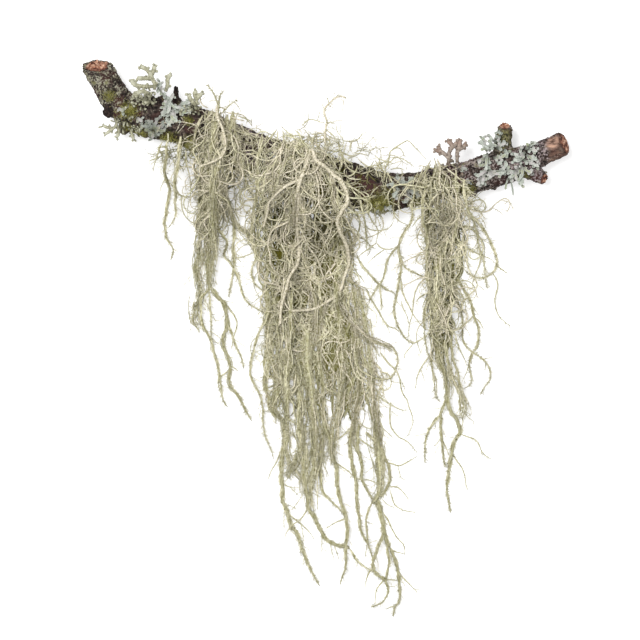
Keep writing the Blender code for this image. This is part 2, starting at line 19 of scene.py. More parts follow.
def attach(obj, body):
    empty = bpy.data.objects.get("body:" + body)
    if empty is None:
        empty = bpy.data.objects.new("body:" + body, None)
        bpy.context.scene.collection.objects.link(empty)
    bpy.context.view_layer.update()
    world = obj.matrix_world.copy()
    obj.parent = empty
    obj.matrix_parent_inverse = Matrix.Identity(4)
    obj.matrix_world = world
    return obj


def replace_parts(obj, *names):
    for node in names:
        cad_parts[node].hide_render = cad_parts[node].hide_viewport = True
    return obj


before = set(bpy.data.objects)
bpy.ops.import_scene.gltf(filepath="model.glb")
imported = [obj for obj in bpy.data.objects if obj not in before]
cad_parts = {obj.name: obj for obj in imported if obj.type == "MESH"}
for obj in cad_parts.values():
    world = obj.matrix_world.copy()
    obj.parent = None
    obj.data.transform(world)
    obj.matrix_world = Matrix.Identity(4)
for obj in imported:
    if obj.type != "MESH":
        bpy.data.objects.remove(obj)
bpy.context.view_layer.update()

# The flat view: its size in pixels, the pixel over the origin, and metres in a pixel
VIEW = 640
ORIGIN_PX = (325.0, 338.5)
PX = 0.170 / 486.0
MM = 0.001
SEED = 7

# Search rays start this high in metres and go straight down
ABOVE = 0.1
DOWN = Vector((0, 0, -1))

# Steps along routes in pixels: on the beards' traced strands, on their random ones, and on
# the small lichens
STRAND_STEP = 1.5
RAMBLE_STEP = 2.5
ARM_STEP = 0.8

# Beards. A strand that is traced this wide is a lock, and it is laid wider by the spread. It
# goes on where another strand starts within so many pixels of its end.
LOCK_FROM = 1.8
LOCK_SPREAD = 1.35
JOIN = 4
# In pixels: the length of a strand for each of its side hairs, that of a lock for each of
# its fringe strands, and the shortest strand of a dense part
HAIR_SPACING = 1.9
FRINGE_SPACING = 5.5
SHORTEST = 12
# The sides of a strand by the pixels that it is thicker than. A hidden one has the fewest.
SIDES = ((1.75, 7), (1.15, 5), (0.62, 4), (0.0, 3))
# The depth past which a strand gets its painted shade only over bark or in a dense part, the
# depth past which it is hidden, and the steepest slope of a strand
SHADY = 0.45
HIDDEN = 0.7
FALL = 0.9
# How much of its last turn a random strand keeps, and its turn back at an edge, in radians
KEPT_TURN = 0.72
EDGE_TURN = 0.22

# Leafy lobes: how thick they are, and how far their middle lies over the bark
LOBE_DEPTH = 0.42 * MM
LOBE_LIFT = 0.22 * MM
# Across a lobe: sideways share, height share and rim share of each corner
LOBE_SECTION = np.array([
    (-1, 0.55, 1), (-0.55, 0.32, 0.25), (0, 0.2, 0), (0.55, 0.32, 0.25), (1, 0.55, 1),
    (0.6, -0.35, 0.2), (0, -0.5, 0), (-0.6, -0.35, 0.2)])

# Bark: how much it swells, waves a metre of that, the size of the remeshed cells, and how
# high the twig's centre rests as a share of its radius
BARK_RELIEF = 0.05
BARK_GRAIN = 260.0
VOXEL = 0.50 * MM
RESTING = 0.965
# The middle of the broken end in pixels. The bare wood by the cut end: its middle in pixels
# and the sine and cosine of the twig's slope there. The green tint on the upper stub: its
# middle and radius in pixels.
BROKEN_END = (97.5, 67)
BARE_WOOD = (553, 143, 0.42, 0.91)
STUB_TINT = (502, 139, 15)

# Floor and camera. The camera is high enough for an almost flat view, and the picture is
# to scale at the focus level.
FLOOR_GLOW = 0.55
CAMERA_HEIGHT = 4.0
SENSOR = 36.0
FOCUS_LEVEL = 0.006

# The twig's centre line: pixel x, pixel y, radius in pixels, and the lift of that stretch
# above its resting height in metres, as in the CAD part
TWIG = [
    (95.5, 65.0, 13.6, 0.0072), (101, 74, 14.2, 0.0056), (108, 86, 14.6, 0.0038),
    (118, 101, 15.6, 0.0022), (133, 113, 17, 0.0009), (150, 118, 19, 0.0002),
    (185, 124, 21.3, 0.0), (220, 140, 22, 0.0), (250, 154, 22.5, 0.0),
    (285, 165, 22, 0.0), (320, 176, 21.5, 0.0), (350, 185, 21.5, 0.0),
    (376, 192, 20.5, 0.0), (410, 190, 17, 0.0), (437, 184, 16.5, 0.0003),
    (463, 179, 16.5, 0.0007), (490, 171, 17, 0.0012), (515, 164, 16, 0.0017),
    (535, 156.5, 13.5, 0.0023), (550, 149.5, 12.3, 0.0028), (564, 143.5, 12.2, 0.0032),
]
# Side stubs: start and end in pixels, start and end radius in pixels, rise in metres
STUBS = [
    ((501, 160), (505, 126.5), 11.0, 7.0, 0.0012),
    ((522, 168), (544, 178.5), 9.0, 6.2, 0.0),
]
# Buds and knots: centre and radius in pixels, height above the centre line in metres
BUDS = [
    ((108, 112.5), 5.5, -0.0005), ((175, 97), 4.0, 0.0010), ((176, 92), 3.2, 0.0016),
    ((176.5, 88.5), 2.6, 0.0018), ((158, 102), 3.4, 0.0040), ((190, 108), 4.0, 0.0010),
]
KNOTS = [
    ((124, 129), 6.0, -0.0010), ((370, 173), 6.0, 0.0010), ((472, 191), 6.5, -0.0008),
    ((494, 184), 5.5, -0.0008), ((145, 133), 5.0, 0.0), ((163, 103), 8.0, 0.0),
    ((149, 103), 8.5, -0.0005), ((176, 104), 7.5, 0.0), ((382, 209), 5.0, -0.0010),
]

# Beard strands by piece: width in pixels, paleness, and the route. "stem" stands in place of
# the paleness of a thick old stem.
BEARDS = {
    "beard_far_left_outer": """
    2.8 .3 168,134 -1,21 -2,10 0,10 3,8 2,7 -2,8 -2,17 -2,7 1,8 2,9 6,11 -3,11; 1.7 .3
    163,142 -3,6 -2,7 -3,8 -2,10; .8 .3 158,155 -4,1 -4,2; .8 .3 156,161 -3,2 -3,3; .9 .3
    172,248 3,2 3,2; 1 .3 165,176 -1,6 -3,5 -1,6""",
    "beard_far_left_inner": """
    2.8 .3 181,137 -3,28 -2,10 -1,10 1,10 -1,10 1,8 -3,8 -5,7; 1.7 .3 170,183 6,7 4,5 7,2
    7,-2 3,-10 1,-15; 1.2 .3 181,195 1,13 3,8 5,5 10,4; .9 .3 190,198 -2,8 -1,6; 1.4 .3
    186,150 1,15 3,13 1,18""",
    "beard_left_back": """
    2.8 .3 228,115 -5,25 -1,25 0,15 4,15 4,13 4,12 6,8 8,6 9,11; 2.8 .3 233,218 1,17 -1,12
    1,11 -1,12 -1,10 -2,10 -2,8; 2.4 .2 219,205 -2,20 5,10 5,8 -3,12 6,7 4,8 4,8 3,9 3,10 5,7
    8,5 7,4 6,4; 1.2 .2 234,258 8,-1 8,-3 10,-3""",
    "beard_left_outer": """
    3.8 .3 210,112 -2,28 -4,15 -2,15 0,15 -1,15 0,15 1,15 -2,10 -1,10 -1,10 -1,10 1,10 2,10
    -1,7 -3,8 -3,10 0,7 4,6 2,6; 1 .2 200,258 -6,5 -4,5; 2 .6 203,116 -6,12 -2,9 -1,8 -2,10;
    1.6 .2 196,305 2,10 3,9 3,9""",
    "beard_left_middle": """
    5.2 .35 219,108 -4,22 -3,20 -3,20 -1,20 -1,20 -1,15 2,15 0,15 0,15 1,15 1,6; 2.8 .2
    210,288 -6,7 -4,5 1,15 2,10 4,8 4,9 3,10 3,10 2,13 2,13 2,12 5,8; 4.2 .2 210,287 8,10 6,6
    2,10 1,12 -3,10 -1,10 4,10 3,10 -1,10 1,10 5,7 5,8 6,11 6,11; 1.6 .2 225,303 5,7 5,7 2,7
    -2,8 -2,8 -2,10; 2.2 .2 228,325 3,7 3,9 3,8 4,8 3,13; 1.2 .2 229,365 5,3 5,4; 1.4 .2
    230,370 -6,4 -6,6 1,8 3,9; 1.8 .2 209,290 1,15 1,15 0,15 2,12; 1 .2 204,298 5,10 7,14; .9
    .2 210,338 6,4 4,3""",
    "beard_left_inner": """
    3.8 .35 233,112 -3,23 -5,15 -8,15 -3,25 -1,20 0,20 2,22 -3,10 -1,13 0,12; 2.8 .4 232,116
    4,19 4,12 1,13 2,10 3,10 2,8 4,7 4,7; 2 .6 235,116 -1,12 4,10 3,12""",
    "beard_left_front": """
    2.9 stem 217,106 1,12 4,9 3,10 1,10 -2,7 -4,5 -8,4 -9,3 -4,2; 2 .2 219,108 -5,-14 -7,-9;
    1.8 .2 219,110 1,-13 5,-6; 1.8 .3 222,114 8,-8 8,-6; .9 .2 234,103 4,3 4,8; 1.1 .2
    236,116 11,4 5,6 -1,-7; 1.5 .8 222,130 2,10 0,10""",
    "beard_centre_left": """
    2.6 .3 262,136 -4,29 -2,35 -3,15 -1,25 4,15 -3,10 -1,10 3,9 7,6 6,6; 4 .3 266,290 2,30
    -1,25 0,10 2,11 -3,8 -2,9 2,7 2,8 2,7 2,7 5,5 4,4 2,9 1,10 -1,10 -2,10 0,12; 3.6 .3
    268,290 3,40 0,25 3,10 3,13 -1,10 -2,10 0,10 4,6 5,7; 3.4 .3 276,280 1,50 1,20 2,10 -1,12
    0,13 -3,7 0,12; 4.2 .2 284,444 -2,13 -1,13 0,10 2,10 -1,7 2,8 3,7 4,13 5,8 4,7 2,8 2,7
    3,7 4,8 4,8 5,9; 1.5 .2 284,506 4,7 5,5 5,4 6,5 6,6 4,7; 1.1 .2 280,452 -3,9 -6.4,11
    -3.1,9; 1.2 .2 304,455 -4,8 -4,5 -4,4 -4,6 -4,5; 1 .2 283,483 6,4 6,1 5,-1; 1 .2 289,487
    6,5 5,5; .9 .2 284,512 0,13 1,5; .9 .2 300,540 0,8 1,9; 3.4 .3 283,418 2,12 2,10 -1,10
    2,8 4,8 4,4 3,4 4,6 2,7 1,10; 3.2 .3 285,365 1,15 1,15 -1,15 1,15 1,13; 1.2 .2 262,226
    6,0 8,0 8,-2; 1.3 .5 284,226 -4,7 -6,7 -4,5; 1.6 .3 277,130 -7,9 -8,10 -6,8 -5,6 -2,5;
    1.2 .3 262,150 4,8 4,6; 1.2 .3 263,152 -10,2 -9,0""",
    "beard_centre_middle": """
    3.8 .3 291,290 -1,45 -5,15 -2,2 2,10 5,2 7,11 1,10 1,10 1,10; 3.6 .3 286,330 2,20 1,13
    -1,9 -2,13 0,10 0,10 1,10; 4.4 .3 305,335 -2,17 1,13 3,10 3,10 1,13 1,12 0,10 1,20 0,20;
    1.8 .3 300,383 -5,8 -4,5 -3,6; 4 .2 303,454 0,12 1,12 2,9 2,18 2,6 5,7 3,7 3,7 4,6 5,4
    7,3 8,2 5,2; 1.8 .2 350,549 4,7 3,5 5,4 6,4 6,3 6,5 6,3; 1.2 .2 283,415 7,5 8,5 12,2 8,0
    7,-2 7,-1; 1.6 .3 297,423 1,12 4,9 3,6 1,15; 1.4 .3 305,445 -6,5 -9,4; 1.3 .3 308,508
    -4,7 -4,5 -6,4 -5,5 -3,5 -2,7; 1 .2 300,499 -5,7 -4,5; .9 .2 300,520 3,15 0,10; .9 .2
    322,533 0,12 0,8; 1 .2 330,543 2,9 2,8; 1 .2 334,545 3,8 2,7; .9 .2 357,561 -2,2 -2,2;
    2.8 .2 321,450 -1,12 0,12 2,14 3,7 6,6 7,7 5,5 5,4; 1.6 .3 314,355 3,6 3,6; 6 .3 308,330
    -1,30 4,25 1,15 1,25 2,20 -1,17 -2,18 -1,17 3,15; 4.2 .3 296,300 1,40 4,35 2,20 0,35 3,25
    2,20 1,17; 4.2 .4 322,300 -4,40 3,30 2,25 1,25 -1,20 -2,20 -2,18; 3.4 .3 322,400 1,13
    3,14 2,6 2,6 1,6 1,10 2,11; 3.4 .3 297,372 1,14 1,12 0,14 0,13 1,12 1,11 -4,12 -6,10 -4,9""",
    "beard_centre_right": """
    2.6 .3 321,378 5,10 6,5 6,4 7,1; 4 .7 352,285 4,25 1,20 -1,20 2,20 2,20 -3,20 -2,20
    -2,16; 4.2 .4 335,280 4,40 3,25 0,15 -1,20 -1,20 -3,20 -2,20 -1,15; 3.8 .5 358,290 8,35
    4,35 2,20 1,20 3,20 3,20 1,12; 1.3 .3 322,382 6,-5 6,-4 6,-2; 1.3 .3 331,390 6,-4 6,-5
    4,-4 3,-4; .9 .3 326,393 2,3 1,3; 1.6 .3 337,358 -3,8 0,12; 1.6 .3 329,443 9,-4 7,-5 5,-5
    4,-9 3,-8 3,-4; 4 .2 334,428 -2,12 0,10 3,12 2,8 0,10 1,10 2,10 3,8 3,8 1,9 0,10 -1,10
    0,15 -1,10 -3,8 -2,8; 1.3 .2 336,463 6,4 6,4 4,4 4,3; 1.4 .2 348,518 -6,2 -7,3 -5,3 -6,4;
    4 .2 354,422 -3,12 -1,11 2,15 1,10 2,8 2,9 0,18 1,8 2,7 1,10 3,8 4,7 3,7 2,8; 1.2 .2
    356,478 6,2 6,0 6,2 5,3; 1.4 .3 347,436 4,5 3,5 4,9 4,5""",
    "beard_centre_far_right": """
    2.2 .3 361,200 0,8 2,7 2,7 1,10 1,10 -1,8; 2.2 .3 357,255 3,7 6,8 6,7 6,6 6,4 6,4 5,2;
    1.6 .3 366,290 5,9 5,8 4,7 4,7 6,6 8,3; 1.4 .3 379,284 1,7 1,9 0,10; 4.2 .25 359,424
    -1,12 0,12 3,12 1,10 0,10 3,5 3,7 4,6 4,6 3,8; 5.2 .2 378,500 4,18 2,12 2,10 4,8; 3.6 .2
    390,548 3,7 3,7 2,8 1,10 1,10 0,8 -2,6 -3,3 -1,5 -1,6; 1.2 .2 396,606 -4,1 -3,1 -3,2; 5.4
    .25 377,422 0,13 1,13 1,12 1,10 0,20 -2,7 -4,5 -2,-2; 3.2 .25 366,432 8,9 8,9 4,10 3,8
    1,10 -2,9 -4,6 -5,5; 2.2 .2 372,503 -4,9 -2,8 1,10 1,15; 3.2 .2 384,530 -3,10 -4,10 -3,8
    -1,8 2,6 5,5 5,3 3,8 -1,8 -4,6 -5,3 -8,3; 2.6 .2 387,545 2,15 -1,10 -2,10; 1.6 .2 384,580
    8,0 6,1; 1.3 .2 384,580 -5,6 -3,6 -1,13; 1.4 .2 372,567 -4,8 -2,7 0,8; 1.2 .2 399,574 6,6
    5,5 8,8; 1.3 .2 383,513 5,7 3,7 3,6 4,6 5,5 2,6 -1,6; 1.1 .2 389,548 7,4 9,2; 1 .2
    367,545 -1,7 -1,8; 1.3 .2 387,463 6,1 6,2 9,-4 9.5,-6; 1 .2 398,466 2,8 1,4 5,2; 1.2 .2
    388,487 7,0 6,3 9,11; 1.2 .2 390,491 5,14 10,6 7,1 6,2; 1 .2 382,499 6,6 7,3; 1.4 .2
    356,436 6,5 6,4 7,5 5,4 5,4; 1.4 .2 353,443 4,8 3,7; 1.4 .3 372,411 2,14 0,12 2,10 2,8
    2,5; 1.6 .3 376,410 4,12 3,8 -1,10 -1,10; 1.2 .3 358,421 4,4 5,3 6,0 5,-3; 1 .3 367,428
    -1,5 -2,5; 1 .3 380,425 5,5 5,5 5,5""",
    "beard_centre_outlier_left": """
    2 .3 269,312 -6,13 -5,10 -3,10 -3,12 -2,13 2,10 5,9 4,9 2,12 0,15 3,13 5,12 3,11; .9 .2
    261,408 -1,5 -1,5; .9 .2 264,424 -2,3 -2,3; 1 .3 253,354 5,-3 7,-2""",
    "beard_centre_outlier_right": """
    1.7 .3 378,396 10,7 7,4 7,3 7,0; 1.5 .3 391,402 -1,8 0,10 1,7 4,6 5,5 5,2 5,4 4,5 4,5; .9
    .2 391,411 4,3 4,3""",
    "beard_centre_front_left": """
    3.4 stem 311,149 -4,14 -3,7 -2,8 -7,4 -8,4 -7,5 -6,6 -5,6 -1,7 -2,8 -3,10; 4 stem 304,171
    -5,14 -1,10 0,10 -1,10 0,10 1,10 1,10 0,10 -2,10 -4,6 -4,7 -2,8 -2,7 -2,7 -2,8 -1,17; 1.9
    .8 297,188 -3,12 0,10 -1,8 1,10; 2.4 stem 298,219 -8,2 -6,3 -7,3 -5,4 -3,7 -1,8 2,9 0,10;
    1.4 .8 270,264 5,7 6,4 5,3; 1.5 .7 295,241 -5,9 -3,8 -1,8 2,12; 1.8 .7 295,155 -8,6 -5,7
    -4,8 -1,9 -1,10; 1.8 .7 299,203 4,12 1,10 1,10""",
    "beard_centre_front_right": """
    4.2 stem 312,149 4,12 6,4 6,5 6,6 6,4 4,7 3,8 0,8 -4,6 -3,6 -3,6 2,8 3,7 4,8 2,8 1,10
    -2,8 -3,8 -2,8 -4,7 -5,5 -8,5 -9,5 -10,2 -15,1; 1.6 .8 337,221 -6,1 -5,1 -8,-1 -7,0; 2.2
    stem 311,157 4,16 3,10 1,12 0,10 4,7 6,6 6,4; 1.6 .8 333,224 -6,8 -3,8 -2,8; 1.9 .7
    348,272 4,9 5,5 3,6 2,8; 1.8 .7 331,172 1,13 1,10 2,10 3,8; 2 stem 300,233 5,9 6,8 5,7
    4,9 2,7 4,8; 1.2 .6 307,240 6,5 7,4 7,4; 2 .6 300,266 3,10 3,5 5,7 3,7 2,10 0,10 -1,10
    -1,10 -2,10; 1.5 .6 302,267 5,6 5,6 6,5; 1.3 .5 319,284 7,6 7,4; 1.3 .5 312,289 6,5 7,5;
    1.5 .5 320,316 6,14 6,5 8,3 8,2 10,4 8,6""",
    "beard_centre_front_lower": """
    1.8 .8 343,300 6,12 5,9 7,10 9,8 10,5 8,3 5,4; 1.3 .4 352,318 6,5 12,7; 1.9 .4 354,350
    1,10 4,8 7,6 6,3 8,2 8,0 4,-2 3,-5 1,-5 2,-5 -1,-7 -3,-6 -4,-3 -5,-2 -7,-1 -6,-2; 1.5 .3
    380,352 5,7 5,6 5,4 3,5 2,6 1,8 2,6 4,6 2,7 3,8 1,7 -2,7 -3,6 -4,4; .9 .2 401,380 3,7
    2,4; 1.9 .8 354,348 1,8 1,9 3,3; 1.2 .5 361,362 5,4 4,4; 1.1 .4 372,345 5,7 3,6; 1.1 .4
    384,398 -6,-6 -6,-7 -3,-2""",
    "beard_right_left": """
    3 .3 413,200 -2,5 1,8 -1,9 -5,8 -5,8 -2,9 1,11 1,10 -1,10 -2,10 -2,10 -2,12 2,10 4,10 5,8
    5,4 5,2; 1.1 .3 418,172 -5,11 1,11 -3,12; 1.1 .5 424,166 -4,10 -5,12 -3,15; 1.8 .3
    399,246 -5,4 -4,6 -3,7 -2,9 -3,9 -7,10 -4,7; 1.8 .3 399,249 3,13 4,6 7,4 7,3 6,3; 1.5 .3
    401,278 1,12 3,8 4,8 4,8 4,6 4,5 5,4; 1.2 .3 401,300 2,8 4,8 2,9; 1.3 .3 426,278 -6,5
    -4,7 -2,8 -1,9 -1,9 -2,6 -1,6 -1,12; 1.2 .3 370,275 5,6 5,4 6,5 7,2 4,6; 1.1 .3 378,284
    -4,9 -4,7; 1.1 .3 380,285 1,10 1,10 -1,7; 1.1 .3 371,300 4,6 5,7 3,7 5,6 7,2 5,5; .9 .3
    385,321 3,7 3,7; 1 .3 426,295 -6,2 -3,5 1,6; 1 .3 422,252 -4,5 -3,8; 1.4 .3 393,206 1,9
    5,6 6,3 4,2""",
    "beard_right_back": """
    2.8 .3 425,190 -3,15 1,17 3,8 1,20 0,25 1,10 2,12 -4,9 -2,9 0,10 2,6; 1.2 .6 431,160
    -5,10 -2,12 -4,13; 1.1 .6 434,158 2,10 -4,12 -5,10 -3,10; 2 .3 424,330 3,20 3,8 2,10; 1.8
    .3 431,350 1,15 2,13 1,12 2,7 3,6; 1.5 .3 430,356 -5,6 -5,8 -3,8 -1,7 -1,5; .9 .3 421,369
    2,7 2,5; 1.5 .3 408,340 6,3 6,-3 6,-4 6,-5; 1.1 .3 414,343 -5,6 -4,5 -1,6; 1 .3 436,397
    -2,1 -2,1; 1.6 .5 418,186 6,14 6,10 7,8 6,7 3,4 -4,7 -5,6 -6,4; 1.4 .4 430,193 5,12 6,10""",
    "beard_right_middle": """
    2.2 stem 437,159 3,11 -1,13 4,13 -1,14 4,15 1,15 -1,12; 4.6 .3 440,240 -2,28 -1,22 1,20
    -1,20 1,20 2,12 4,10 2,8 1,12 -2,8; 3.4 .3 445,340 2,15 3,13 2,10 5,10 4,7 3,10 -2,7
    -3,6; 3 .3 451,338 1,14 2,10 4,10 1,8 1,12 0,20; 4.2 .2 446,393 2,12 4,8 4,5 3,7 1,8 -5,7
    -2,8 -1,7 -2,7 -1,8 -1,10 -1,10 2,12 2,12; 1.2 .2 460,434 8,3 6,2 5,5 2,6 4,5 4,3 4,2; .9
    .2 481,449 1,4 1,4; 1.3 .2 452,453 5,8 5,7 3,8 1,8 2,8; 2.4 .2 446,398 -3,10 -3,8 -6,6
    -5,8 -3,10 -1,10 0,14; 3.4 .2 441,414 0,13 1,13 1,10 1,10 2,8; 1.1 .2 442,438 4,10 4,9; 1
    .2 463,411 5,6 4,3 4,3; 1.1 .2 461,413 2,9 -2,8; 1 .2 441,438 -4,6 -3,3; 1.1 .3 433,298
    4,12 3,10 1,8; 1.2 .4 445,227 7,4 8,-1""",
    "beard_right_inner": """
    3 .3 455,170 2,25 0,25 -4,20 -3,20 5,15 5,7 4,8 6,10 3,10 2,8 3,9 1,8 -1,10 -3,5 -4,7
    -2,8 2,8 1,7 -3,6 -6,3; 1.2 .3 475,317 5,5 4,8; 1.3 .3 473,316 -5,6 -4,2 -7,6 -7,1 -7,-3
    -7,1 -6,1 -5,-1; 2 .3 455,280 1,17 3,8 3,10 1,10 0,15 5,8 6,5 6,4 5,4 4,6 2,6 -1,7 -5,7
    -4,6 -1,4; .9 .3 487,363 -1,4 -1,4; 1 .3 469,364 -2,8 -4,8 -2,4; 1.2 .3 452,283 -2,10
    -5,5 -3,2; 1.3 .3 455,338 5,12 5,10 2,6""",
    "beard_right_curl": """
    2.6 .4 464,180 -1,10 2,10 4,12 6,8 7,8 8,12 5,12 2,8 -2,10 -5,5 -7,3 -8,-1 -7,-4 -4,-4; 2
    .3 470,214 5,11 2,10 1,8 3,9 3,10 1,10 1,8 2,10; 1.5 .3 463,243 7,7 7,3 7,3 7,3 4,4; 1.3
    .3 482,255 -3,11 -3,7 -3,9 0,8; 1.2 .3 496,265 7,5 6,4; 1.3 .3 493,273 4,7 1,7 -2,8 -1,5
    1,8 3,8 5,5 5,4 4,2; 1.3 .3 466,210 6,-2 6,0 5,-3; .9 .3 473,208 7,3 2,4; 1 .3 479,216
    5,6 2,6""",
    "loops_below_twig": """
    1.4 .3 366,208 2,5 4,8 6,9 -1,8 -1,5; 1.2 .3 364,226 8,4 11,0 7,-3 4,-7; .9 .3 377,216
    3,9 1,5; 1.4 .3 376,243 -6,5 -6,4 -7,6; 1.3 .3 376,242 4,5 5,2 6,0 5,-2 3,-3; 1.1 .3
    385,249 -7,5 -6,5 -5,5""",
    "loops_above_twig": """
    .9 .3 350,152 1,-7 2,-5 3,-1 2,4 2,8; .9 .3 360,152 2,-3 4,-2 4,2; .9 .3 369,155 2,-5
    4,-2 5,1 1,6 1,7; .9 .3 378,150 6,-3 6,2; 1.5 .3 385,170 4,-12 1,-6 4,-3 4,-3 5,-3 5,-2
    6,6 5,5 8,9; 1.1 .3 392,150 6,-2 4,3 2,6; 1.1 .3 390,158 8,0 6,2 10,7""",
    "top_sprig": """
    2.6 stem 325,146 0,-13 1.6,-11 -2.6,-11 5,-7 7,-6 7,-1 4,2; 1.2 .3 329,105 -1,-5 -2,-3;
    1.1 .3 325,111 -2,-4 -1,-3; 1.2 .3 335,99 2,-3 2,-2; 1.2 .3 302,126 7,-6 7,1 9,3; 1 .3
    317,121 1,-3 2,-7; 1.1 .3 326,122 3,1 7,1; 1.2 .3 326,130 8,7 7,10""",
}

# Dense parts of the beards: left edge, right edge, how far their top arches up, the row where
# they part into locks, the number of deep, middle and front strands, how much painted shade the
# deep ones get, and the pieces that share them from left to right
MASSES = [
    ("259,148 -7,17 0,25 3,25 -1,25 5,22 6,23 2,20 0,45 0,30 4,25 8,27 1,38",
     "346,172 12,13 2,15 -8,35 -1,27 7,28 7,20 6,25 6,17 3,28 2,20 1,30 -1,40",
     20, 428, (420, 160, 146), 0.96,
     ["beard_centre_left", "beard_centre_middle", "beard_centre_right",
      "beard_centre_far_right"]),
    ("419,190 4,14 3,11 3,25 0,30 1,30 1,30 0,25 9,30 1,25",
     "462,190 6,10 2,25 -4,20 -8,25 -3,30 -3,30 0,25 7,30 4,25",
     32, 370, (84, 42, 56), 1.0,
     ["beard_right_left", "beard_right_back", "beard_right_middle", "beard_right_inner"]),
    ("199,134 -3,11 0,15 2,30 1,30 -1,30 0,25 1,27",
     "243,142 0,8 -3,10 -9,20 -6,20 -5,20 -4,30 -3,42",
     22, 262, (44, 22, 48), 1.0,
     ["beard_left_outer", "beard_left_middle", "beard_left_inner"]),
]
# Tangled parts: piece, centre, half width, half height, number of arcs, paleness
TANGLES = [
    ("beard_centre_front_left", 287, 138, 27, 10, 42, 0.3),
    ("beard_centre_front_right", 323, 147, 36, 15, 66, 0.4),
    ("beard_centre_front_right", 350, 168, 20, 16, 26, 0.5),
    ("beard_centre_front_left", 266, 166, 16, 15, 16, 0.7),
    ("beard_centre_front_left", 298, 172, 40, 20, 50, 0.5),
    ("beard_centre_front_right", 385, 163, 20, 9, 18, 0.3),
    ("beard_centre_front_right", 372, 195, 16, 13, 12, 0.5),
    ("beard_right_middle", 432, 178, 15, 15, 44, 0.3),
    ("beard_right_inner", 450, 190, 13, 15, 18, 0.3),
    ("beard_right_middle", 443, 216, 16, 18, 22, 0.2),
    ("beard_right_middle", 446, 250, 12, 20, 18, 0.2),
    ("beard_left_front", 216, 120, 16, 16, 17, 0.9),
    ("beard_left_outer", 205, 140, 8, 18, 10, 0.9),
    ("beard_left_inner", 240, 130, 9, 10, 8, 0.7),
    ("beard_left_middle", 212, 165, 11, 18, 6, 0.4),
    ("beard_left_inner", 226, 172, 9, 18, 4, 0.3),
    ("beard_far_left_inner", 175, 151, 12, 11, 26, 0.0),
    ("beard_far_left_inner", 188, 149, 12, 9, 28, 0.0),
    ("beard_far_left_outer", 163, 149, 6, 7, 8, 0.0),
    ("beard_left_inner", 243, 172, 10, 12, 18, 0.0),
]
# Gaps in the dense parts, where the floor shows: centre, half width and half height
GAPS = [
    (262, 234, 2.2, 4), (270.5, 384, 2.8, 8), (284, 345, 1.8, 7), (291.5, 384, 2.4, 7),
    (304, 394, 2, 8), (316, 386, 1.8, 4), (291, 408, 2.3, 8), (304, 420, 1.8, 6),
    (330, 413, 1.9, 6), (334, 433, 1.8, 6), (278, 428, 2.4, 11), (294, 444, 2.5, 7),
    (362, 415, 2.5, 7), (384, 369, 2.5, 8), (350, 288, 1.6, 7), (316, 350, 1.6, 6),
    (439, 384, 1.8, 15), (453, 424, 3, 8), (455, 397, 1.6, 12), (450, 355, 1.8, 10),
    (455, 312, 3, 10), (435, 274, 1.6, 4), (231, 191, 3, 10),
    (247, 206, 3, 6), (255.5, 191, 2.4, 4), (202.5, 241, 1.3, 12), (221, 240, 1.8, 12),
    (205, 285, 1.3, 10),
]

# Leafy lichens: width of a lobe in pixels, how dark it is, and the arms. "thin" marks an arm
# that hangs alone.
LEAVES = {
    "leaf_lichen_left_upper": (3.9, 0.0, """
    158,87 4,6 6,7 6,7 8,1 8,1; 166,101 -1,8 -3,8; 173,108 2,8 -4,6 -3,5; 178,107 6,-3 7,-1;
    161,91 -1,-9; 168,100 6,-3; 170,104 -4,4; 165,98 5,8 -2,8; 176,110 7,3 7,-2; 168,112 5,6
    5,4; 170,118 -4,5"""),
    "leaf_lichen_left_lower": (3.6, 0.42, """
    153,130 -6,-3 -6,-1; 153,130 -3,-6 -2,-4; 154,130 2,-6 2,-6; 154,130 6,-3 5,-3; 155,131
    6,0 5,0; 155,132 5,4; 153,132 0,7; 152,131 -3,4"""),
    "leaf_lichen_centre": (3.7, 0.1, """
    398,188 -4,-3 -5,-1; 400,189 -4,4 -3,5; 400,187 -1,-7 -3,-5; 402,188 7,3 6,2 5,4; 405,188
    4,-6 4,-5; 408,192 0,7 -4,4; 411,191 6,-3; 399,183 5,-4"""),
    "leaf_lichen_right_inner": (3.9, 0.05, """
    487,152 -4,-6 -3,-6; 484,148 -2,-6 2,-6; 489,152 1,-8 1,-8; 489,149 4,-4 3,2; 486,158
    -5,2 -3,4; 487,153 -1,10 0,8; 488,169 5,4 5,1 6,-1; 496,174 7,-5 4,-6; 490,171 0,8;
    488,170 -7,4 -5,3; 484,173 -2,12; 493,158 7,0 6,-4; 497,150 4,-5 5,-2; 496,162 6,2;
    480,178 -2,8; 504,173 6,-2 3,7"""),
    "leaf_lichen_right_outer": (3.9, 0.0, """
    525,150 4,-4 7,-4; 527,149 5,1 5,2; 525,152 -6,6 -5,-5; 523,158 -5,3 -5,-1; 520,164 2,9
    -3,7; 523,160 7,3 9,4; 526,155 5,3 6,2; 519,168 -6,6 -3,7; thin 510,180 2,8 1,8; thin
    508,178 -2,6 -1,6; 520,176 1,10; 521,167 6,4 5,2; 524,146 -4,3; 515,170 1,11"""),
    "leaf_flakes": (3.6, 0.2, """
    258,158 8,3; 270,152 5,6; 384,207 8,3; 372,212 7,2; 458,170 8,-2; 247,172 9,5; 500,136
    -3,6; 504,149 4,6; 498,130 2,5; 118,108 6,4; 137,118 6,4; 462,184 8,-2; 426,196 6,2"""),
}
